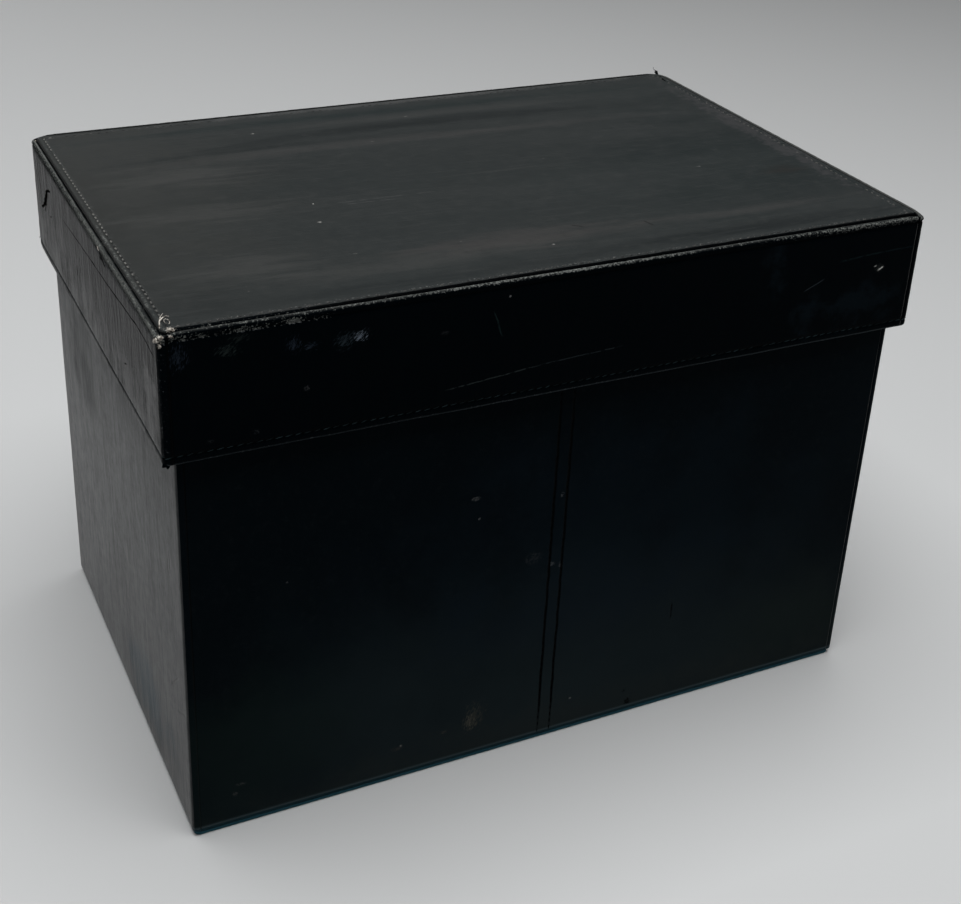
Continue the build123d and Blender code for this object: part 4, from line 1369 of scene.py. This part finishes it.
def left_face_marks():
    """The tear, its branch, the nicks and the painted shade of the long crease on the lid's left end."""
    ribbon("lid_left_tear", [(74.7, 238.4), (78, 238.0), (81.5, 236.6), (84.6, 233.6), (87, 230.6),
                             (90, 228.0), (93.5, 225.0), (97, 223.2), (100, 222.4)],
           [0.8, 1.7, 2.4, 4.0, 5.2, 4.0, 2.6, 1.8, 0.5], TORN_AND_CREASE_SHADE)
    ribbon("lid_left_tear_branch", [(86.5, 229.4), (89, 225.6), (91, 222.8)], [2.6, 1.8, 0.8], TORN_AND_CREASE_SHADE)
    ribbon("lid_left_nick", [(75.6, 225.6), (77, 225.2), (78.6, 224.6)], [0.5, 1.2, 0.3], TORN_AND_CREASE_SHADE)
    ribbon("lid_left_nick_middle", [(22.6, 222.4), (22.2, 219.6), (22.6, 217.0)], [0.4, 1.1, 0.3], TORN_AND_CREASE_SHADE)
    ribbon("lid_left_nick_front", [(-62, 213.6), (-64, 214.8), (-66.4, 215.4)], [0.4, 0.9, 0.3], TORN_AND_CREASE_SHADE)
    ribbon("lid_left_nick_top", [(-28, 246.6), (-29.6, 247.6), (-31.4, 247.2)], [0.8, 1.8, 0.8], TORN_AND_CREASE_SHADE)
    # Painted shade: a dark ribbon laid along the long crease.
    ribbon("lid_left_crease_shade", [(47, 234.8), (10, 236.9), (-37, 239.2), (-66, 241.2), (-88, 242.6),
                               (-101, 242.0), (-112, 240.8)], [0.15, 0.55, 0.6, 0.65, 0.7, 0.6, 0.5], TORN_AND_CREASE_SHADE)


STRAND_TAPER = 0.55
FIBRE_STEPS = 6
FIBRE_SCATTER = 0.7


def tube(points, path, radius, sides=5):
    """Adds a thin tapering strand along a path to points; gives its faces."""
    faces = []
    first = len(points)
    last = len(path) - 1
    for i, spot in enumerate(path):
        way = (path[min(i + 1, last)] - path[max(i - 1, 0)]).normalized()
        side = way.orthogonal().normalized()
        other = way.cross(side)
        thin = radius * (1.0 - STRAND_TAPER * i / last)
        for k in range(sides):
            turned = 2 * math.pi * k / sides
            points.append(spot + (side * math.cos(turned) + other * math.sin(turned)) * thin)
    for i in range(last):
        for k in range(sides):
            a, b = first + i * sides + k, first + i * sides + (k + 1) % sides
            faces.append((a, b, b + sides, a + sides))
    faces.append([first + k for k in reversed(range(sides))])
    faces.append([first + last * sides + k for k in range(sides)])
    return faces


def fibre_tuft(name, clumps, material, seed, radius, curliness):
    """Frayed fibres. A clump is (place, spread, count, longest, way they lean)."""
    chance = random.Random(seed)
    points, faces = [], []
    for place, spread, count, longest, lean in clumps:
        for _ in range(count):
            root = Vector(place) + Vector([chance.gauss(0, s) for s in spread])
            way = (Vector(lean) + Vector([chance.gauss(0, FIBRE_SCATTER) for _ in range(3)])).normalized()
            path = [root]
            stride = longest * chance.uniform(0.3, 1.0) / FIBRE_STEPS
            for _ in range(FIBRE_STEPS):
                way = (way + Vector([chance.gauss(0, curliness) for _ in range(3)])).normalized()
                path.append(path[-1] + way * stride)
            faces += tube(points, path, radius * chance.uniform(0.7, 1.5), 4)
    piece(name, points, faces, [material], "lid")


def frays():
    """Frayed fibres at the worn corner and here and there along the rim."""
    corner = [((-174.0, -115.0, 252.2), (1.0, 0.7, 0.3), 22, 0.9, (0.2, -0.1, 0.6)),
              ((-179.6, -117.2, 250.2), (0.5, 0.5, 0.6), 14, 1.3, (-0.5, -0.6, 0.3)),
              ((-178.8, -117.6, 250.2), (0.4, 0.3, 0.7), 12, 1.3, (-0.4, -0.8, 0.2)),
              ((-174.8, -117.6, 251.0), (0.5, 0.2, 0.3), 8, 1.0, (0, -0.8, 0.2)),
              ((-179.0, -117.6, 247.4), (0.4, 0.3, 0.8), 8, 1.2, (-0.4, -0.8, -0.3))]
    fibre_tuft("corner_fray", corner, FIBRE, 5, 0.11, 0.75)
    chance = random.Random(21)
    rim = [((x + chance.uniform(-2, 2), -117.2, 251.9), (0.8, 0.4, 0.12), chance.randint(0, 2), 0.9,
            (0, -0.3, 0.6)) for x in range(-172, 178, 5)]
    rim += [((x + chance.uniform(-2, 2), -112.6, 252.0), (0.8, 0.5, 0.1), chance.randint(1, 5), 1.0,
             (0, -0.2, 0.8)) for x in range(-172, 178, 4)]
    rim += [((-179.2, y + chance.uniform(-3, 3), 251.6), (0.3, 1.2, 0.2), chance.randint(0, 4), 1.3,
             (-0.5, 0, 0.5)) for y in range(-110, 112, 7)]
    fibre_tuft("rim_fray", rim, RUBBED_FIBRE, 8, 0.06, 0.4)


def lump(points, centre, size, seed, rings=9, sides=12):
    """Adds a small ragged lump to points; gives its faces."""
    faces = []
    first = len(points)
    for i in range(rings + 1):
        polar = math.pi * i / rings
        for k in range(sides):
            turned = 2 * math.pi * k / sides
            way = Vector((math.sin(polar) * math.cos(turned), math.sin(polar) * math.sin(turned),
                          math.cos(polar)))
            swell = 1.0 + 0.75 * rough_at(way.x + seed, way.y, way.z, 0.8, 4)
            off = Vector((way.x * size[0], way.y * size[1], way.z * size[2]))
            points.append(Vector(centre) + off * swell)
    for i in range(rings):
        for k in range(sides):
            a, b = first + i * sides + k, first + i * sides + (k + 1) % sides
            faces.append((a, b, b + sides, a + sides))
    return faces


def torn_corner():
    """Pale stuffing and scuffed suede where the lid's front left corner has worn through."""
    points, faces = [], []
    spots = [((-173.4, -115.2, 252.2), (1.1, 0.9, 0.7)), ((-174.7, -114.8, 252.2), (0.9, 0.9, 0.7)),
             ((-180.2, -117.1, 250.0), (0.9, 0.9, 0.9)), ((-178.5, -117.8, 250.8), (1.0, 0.5, 0.9)),
             ((-179.0, -117.8, 247.6), (0.7, 0.4, 0.7)), ((-174.9, -118.0, 250.9), (0.8, 0.4, 0.5)),
             ((-177.0, -111.2, 252.0), (0.3, 0.9, 0.3))]
    for seed, (centre, size) in enumerate(spots):
        faces += lump(points, centre, size, seed * 7.0)
    piece("torn_corner_stuffing", points, faces, [FIBRE], "lid")


CURL_START = -1.2
CURL_CLOSING = 0.3


def curl(centre, across, up, turns, steps=22):
    """Points of a loose curl, round its centre."""
    path = []
    for i in range(steps + 1):
        angle = 2 * math.pi * turns * i / steps + CURL_START
        fade = 1 - CURL_CLOSING * i / steps
        off = Vector(across) * math.cos(angle) + Vector(up) * math.sin(angle)
        path.append(Vector(centre) + off * fade)
    return path


def loose_threads():
    """A stiff curl of thread at the back right corner, and pale ones pulled out at the left."""
    knot, wisp = [], []
    faces = lump(knot, (176.9, 116.3, 252.7), (0.95, 0.8, 1.0), 5.0)
    for x, y in ((176.5, 114.2), (175.7, 109.7), (174.6, 105.4), (173.9, 102.4)):
        faces += lump(knot, (x, y, 252.2), (0.5, 0.8, 0.25), x, 6, 8)
    path = [Vector(p) for p in ((176.9, 116.3, 253.0), (176.2, 116.5, 253.9), (175.4, 116.8, 254.3),
                                (175.0, 117.0, 255.0), (175.0, 117.1, 255.8))]
    faces += tube(knot, path, 0.24, 6)
    piece("corner_knot", knot, faces, [DARK_THREAD], "lid")
    faces = []
    strands = [((-177.0, -111.4, 252.2), (-176.3, -108.6, 252.6), (-175.7, -106.6, 252.7),
                (-174.6, -103.6, 252.6), (-172.9, -100.6, 252.4)),
               ((-175.9, -107.2, 252.6), (-174.3, -105.2, 252.9), (-172.6, -103.6, 252.7),
                (-171.4, -103.8, 252.4))]
    for strand in strands:
        faces += tube(wisp, [Vector(p) for p in strand], 0.30, 6)
    faces += tube(wisp, curl((-173.5, -108.2, 252.6), (1.1, -0.2, 0), (0.1, 2.2, 0.2), 0.95), 0.15, 6)
    faces += tube(wisp, curl((-180.5, -29.0, 250.9), (0, 3.0, 0.3), (-0.2, 0.1, 1.1), 0.5), 0.14, 5)
    piece("loose_curls", wisp, faces, [FIBRE], "lid")
    snag = []
    faces = tube(snag, curl((-180.6, -33.0, 249.4), (0, 2.6, 0.5), (-0.2, 0.1, 1.3), 1.2), 0.28, 6)
    tail = [Vector(p) for p in ((-180.4, -30.0, 250.2), (-180.6, -33.5, 248.6), (-180.5, -36.5, 248.0),
                                (-180.3, -38.0, 246.9))]
    faces += tube(snag, tail, 0.30, 6)
    piece("rim_snag", snag, faces, [DARK_THREAD], "lid")


def corner_nub():
    """The hard nub of folded leather at the foot of the band's front left corner."""
    points = []
    faces = lump(points, (-178.4, -116.5, 196.1), (1.5, 1.3, 1.5), 3.0)
    piece("corner_nub", points, faces, [RIM_LEATHER], "lid")


# ---------------------------------------------------------------- stitches

def one_stitch(tree, given):
    """One short arched length of thread, its two ends set into the leather."""
    half = times(tree, given["Length"], 0.5)
    back = times(tree, half, -1.0)
    dip = times(tree, given["Thickness"], -0.7)
    start = vector(tree, x=back, z=dip)
    crown = vector(tree, z=times(tree, given["Arch"], 2.0))
    end = vector(tree, x=half, z=dip)
    arch = add(tree, "GeometryNodeCurveQuadraticBezier", {"Resolution": 5, "Start": start, "Middle": crown,
                                                          "End": end}).outputs[0]
    round_of = add(tree, "GeometryNodeCurvePrimitiveCircle",
                   {"Resolution": 6, "Radius": times(tree, given["Thickness"], 0.5)}).outputs[0]
    return add(tree, "GeometryNodeCurveToMesh", {"Curve": arch, "Profile Curve": round_of,
                                                 "Fill Caps": True}).outputs[0]


def stitch_tree():
    """Stitches set out along a path, each turned to lie along it and leant a little."""
    tree = bpy.data.node_groups.new("stitch row", "GeometryNodeTree")
    face = tree.interface
    face.new_socket("Path", in_out="INPUT", socket_type="NodeSocketGeometry")
    for label, start in (("Pitch", 0.004), ("Length", 0.003), ("Thickness", 0.0006), ("Arch", 0.0003),
                         ("Slant", 0.15), ("Unevenness", 0.08), ("Lost", 0.04)):
        face.new_socket(label, in_out="INPUT", socket_type="NodeSocketFloat").default_value = start
    face.new_socket("Seed", in_out="INPUT", socket_type="NodeSocketInt").default_value = 1
    face.new_socket("Thread", in_out="INPUT", socket_type="NodeSocketMaterial")
    face.new_socket("Stitches", in_out="OUTPUT", socket_type="NodeSocketGeometry")
    given = tree.nodes.new("NodeGroupInput").outputs
    out = tree.nodes.new("NodeGroupOutput").inputs

    stitch = one_stitch(tree, given)
    path = add(tree, "GeometryNodeMeshToCurve", {0: given["Path"]}).outputs[0]
    points = add(tree, "GeometryNodeResampleCurve", {"Curve": path, "Length": given["Pitch"]},
                 mode="LENGTH").outputs[0]
    outward = add(tree, "GeometryNodeInputNamedAttribute", {"Name": "outward"},
                  data_type="FLOAT_VECTOR").outputs["Attribute"]
    tangent = add(tree, "GeometryNodeInputTangent").outputs[0]
    upright = add(tree, "FunctionNodeAlignRotationToVector", {"Vector": outward}, axis="Z").outputs[0]
    aimed = add(tree, "FunctionNodeAlignRotationToVector", {"Rotation": upright, "Vector": tangent},
                axis="X", pivot_axis="Z").outputs[0]
    sway = add(tree, "FunctionNodeRandomValue", {2: times(tree, given["Unevenness"], -1.0),
                                                 3: given["Unevenness"], "Seed": given["Seed"]}).outputs[1]
    slant = vector(tree, z=plus(tree, sway, given["Slant"]))
    twist = add(tree, "FunctionNodeEulerToRotation", {0: slant}).outputs[0]
    turned = add(tree, "FunctionNodeRotateRotation", {"Rotation": aimed, "Rotate By": twist},
                 rotation_space="LOCAL").outputs[0]
    kept = add(tree, "FunctionNodeRandomValue", {2: 0.0, 3: 1.0, "Seed": plus(tree, given["Seed"], 7)})
    shown = add(tree, "FunctionNodeCompare", {0: kept.outputs[1], 1: given["Lost"]},
                operation="GREATER_THAN").outputs[0]
    size = add(tree, "FunctionNodeRandomValue", {2: 0.88, 3: 1.1, "Seed": plus(tree, given["Seed"], 3)})
    placed = add(tree, "GeometryNodeInstanceOnPoints", {"Points": points, "Selection": shown,
                                                        "Instance": stitch, "Rotation": turned,
                                                        "Scale": size.outputs[1]}).outputs[0]
    real = add(tree, "GeometryNodeRealizeInstances", {0: placed}).outputs[0]
    dressed = add(tree, "GeometryNodeSetMaterial", {"Geometry": real,
                                                    "Material": given["Thread"]}).outputs[0]
    tree.links.new(dressed, out["Stitches"])
    return tree


STITCH_ROW = stitch_tree()


def stitches(name, runs, thread, body, **sizes):
    """Rows of stitches as one plain mesh. A run is (points, ways outward, closed)."""
    mesh = bpy.data.meshes.new(name + "_path")
    points, ways, edges = [], [], []
    for run, outward, closed in runs:
        first = len(points)
        points += [millimetres(p) for p in run]
        ways += outward
        edges += [(first + i, first + i + 1) for i in range(len(run) - 1)]
        if closed:
            edges.append((first + len(run) - 1, first))
    mesh.from_pydata(points, edges, [])
    layer = mesh.attributes.new("outward", "FLOAT_VECTOR", "POINT")
    layer.data.foreach_set("vector", [c for way in ways for c in way])
    path = in_scene(name + "_path", mesh)
    modifier = path.modifiers.new("stitches", "NODES")
    modifier.node_group = STITCH_ROW
    wanted = {"Thread": thread, **sizes}
    for item in STITCH_ROW.interface.items_tree:
        if item.in_out == "INPUT" and item.name in wanted:
            modifier[item.identifier] = wanted[item.name]
    graph = bpy.context.evaluated_depsgraph_get()
    plain = bpy.data.meshes.new_from_object(path.evaluated_get(graph))
    bpy.data.objects.remove(path)
    plain.name = name
    plain.polygons.foreach_set("use_smooth", [True] * len(plain.polygons))
    made = in_scene(name, plain)
    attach(made, body)


def loop_run(half, corner, inset, height, up=False):
    """A closed run of points round the lid for a row of stitches."""
    points, ways = [], []
    for station in loop_stations(half, corner, 2.0, 6):
        flat, out = loop_point(station, half, corner, inset)
        points.append((flat.x, flat.y, height))
        ways.append((0, 0, 1) if up else (out.x, out.y, 0))
    return points, ways, True


def seam_run(x, side, low, high):
    """A run of points up the middle seam at the front or back."""
    y = BODY_HALF[1] * side
    steps = 60
    points = [(x + SEAM_SWAY * math.sin(i * SEAM_SWAY_TURN), y, low + (high - low) * i / steps)
              for i in range(steps + 1)]
    return points, [(0, side, 0)] * len(points), False


def all_stitches():
    """The rows round the panel and the lower edge of the lid, and beside the box's middle seams."""
    panel_row = loop_run(LID_HALF, PANEL_CORNER, PANEL_ROW_INSET, PANEL_ROW_HEIGHT, up=True)
    stitches("lid_panel_stitches", [panel_row], PALE_THREAD, "lid", Pitch=STITCH_PITCH * MM,
             Length=1.6 * MM, Thickness=0.86 * MM, Arch=0.22 * MM, Slant=0.10, Unevenness=0.40,
             Lost=0.10, Seed=4)
    band_row = loop_run(LID_HALF, LID_ROUND, BAND_ROW_INSET, BAND_ROW_HEIGHT)
    stitches("lid_band_stitches", [band_row], BAND_THREAD, "lid", Pitch=STITCH_PITCH * MM,
             Length=3.3 * MM, Thickness=0.55 * MM, Arch=0.14 * MM, Slant=0.20, Unevenness=0.08,
             Lost=0.02, Seed=9)
    seam_rows = [seam_run(-x * side, side, *SEAM_ROW_ENDS) for side in (-1, 1) for x in SEAM_ROWS]
    stitches("box_seam_stitches", seam_rows, SEAM_THREAD, "box", Pitch=STITCH_PITCH * MM,
             Length=3.0 * MM, Thickness=0.7 * MM, Arch=0.06 * MM, Slant=0.10, Unevenness=0.10,
             Lost=0.0, Seed=12)


lid_bands()
lid_panel()
body_skins()
left_face_marks()
all_stitches()
frays()
loose_threads()
torn_corner()
corner_nub()


# ---------------------------------------------------------------- studio

# The studio is laid out in metres.
FLOOR_REACH = 12.0
FLOOR_COLOUR = (0.44, 0.447, 0.45)
WORLD_DARK = 0.05
WORLD_PALE = 0.12
WORLD_PALE_SIDE = (-0.35, 0.90, 0.0)
WORLD_TURNS_PALE = (-0.4, 0.6)
SENSOR_WIDTH = 36.0
LENS = 58.269
LENS_SHIFT = -0.12
CAMERA_PLACE = (-0.3030, -0.6273, 0.5091)
CAMERA_TURN = (63.796, -2.463, -25.49)


def studio_floor():
    """A plain pale floor."""
    mesh = bpy.data.meshes.new("floor")
    corners = [(x * FLOOR_REACH, y * FLOOR_REACH, 0) for x, y in ((-1, -1), (1, -1), (1, 1), (-1, 1))]
    mesh.from_pydata(corners, [], [(0, 1, 2, 3)])
    floor = in_scene("floor", mesh)
    material, _, shader, _ = finish_of("floor paint", 0.6, 0.2)
    shader.inputs["Base Color"].default_value = (*FLOOR_COLOUR, 1)
    mesh.materials.append(material)


def studio_world():
    """Soft light from all round, paler from the back."""
    world = bpy.data.worlds.new("studio")
    bpy.context.scene.world = world
    world.use_nodes = True
    tree = world.node_tree
    direction = add(tree, "ShaderNodeTexCoord").outputs["Generated"]
    towards = measure(tree, "DOT_PRODUCT", direction, Vector(WORLD_PALE_SIDE).normalized())
    level = ramp(tree, towards, *WORLD_TURNS_PALE, WORLD_DARK, WORLD_PALE)
    tree.links.new(level, tree.nodes["Background"].inputs["Color"])


def softbox(name, place, aim, size, power):
    """A square soft lamp, aimed from its place."""
    lamp = bpy.data.lights.new(name, "AREA")
    lamp.shape = "RECTANGLE"
    lamp.size, lamp.size_y = size
    lamp.energy = power
    box = in_scene(name, lamp)
    box.location = place
    box.rotation_euler = (Vector(aim) - Vector(place)).to_track_quat("-Z", "Y").to_euler()


def camera():
    """The camera, a little above the lid and off its left corner."""
    data = bpy.data.cameras.new("camera")
    data.sensor_width = SENSOR_WIDTH
    data.sensor_fit = "HORIZONTAL"
    data.lens = LENS
    data.shift_y = LENS_SHIFT
    data.clip_start, data.clip_end = 0.01, 100
    seat = in_scene("camera", data)
    seat.location = CAMERA_PLACE
    seat.rotation_euler = Euler([math.radians(v) for v in CAMERA_TURN], "XYZ")
    bpy.context.scene.camera = seat


studio_floor()
studio_world()
softbox("overhead", (-0.1, -0.25, 2.0), (-0.1, -0.25, 0), (1.8, 1.8), 66)
softbox("back", (-0.8, 1.7, 0.7), (-0.1, 0.3, 0.1), (1.4, 0.8), 7)
camera()
bpy.context.scene.view_settings.view_transform = "Standard"
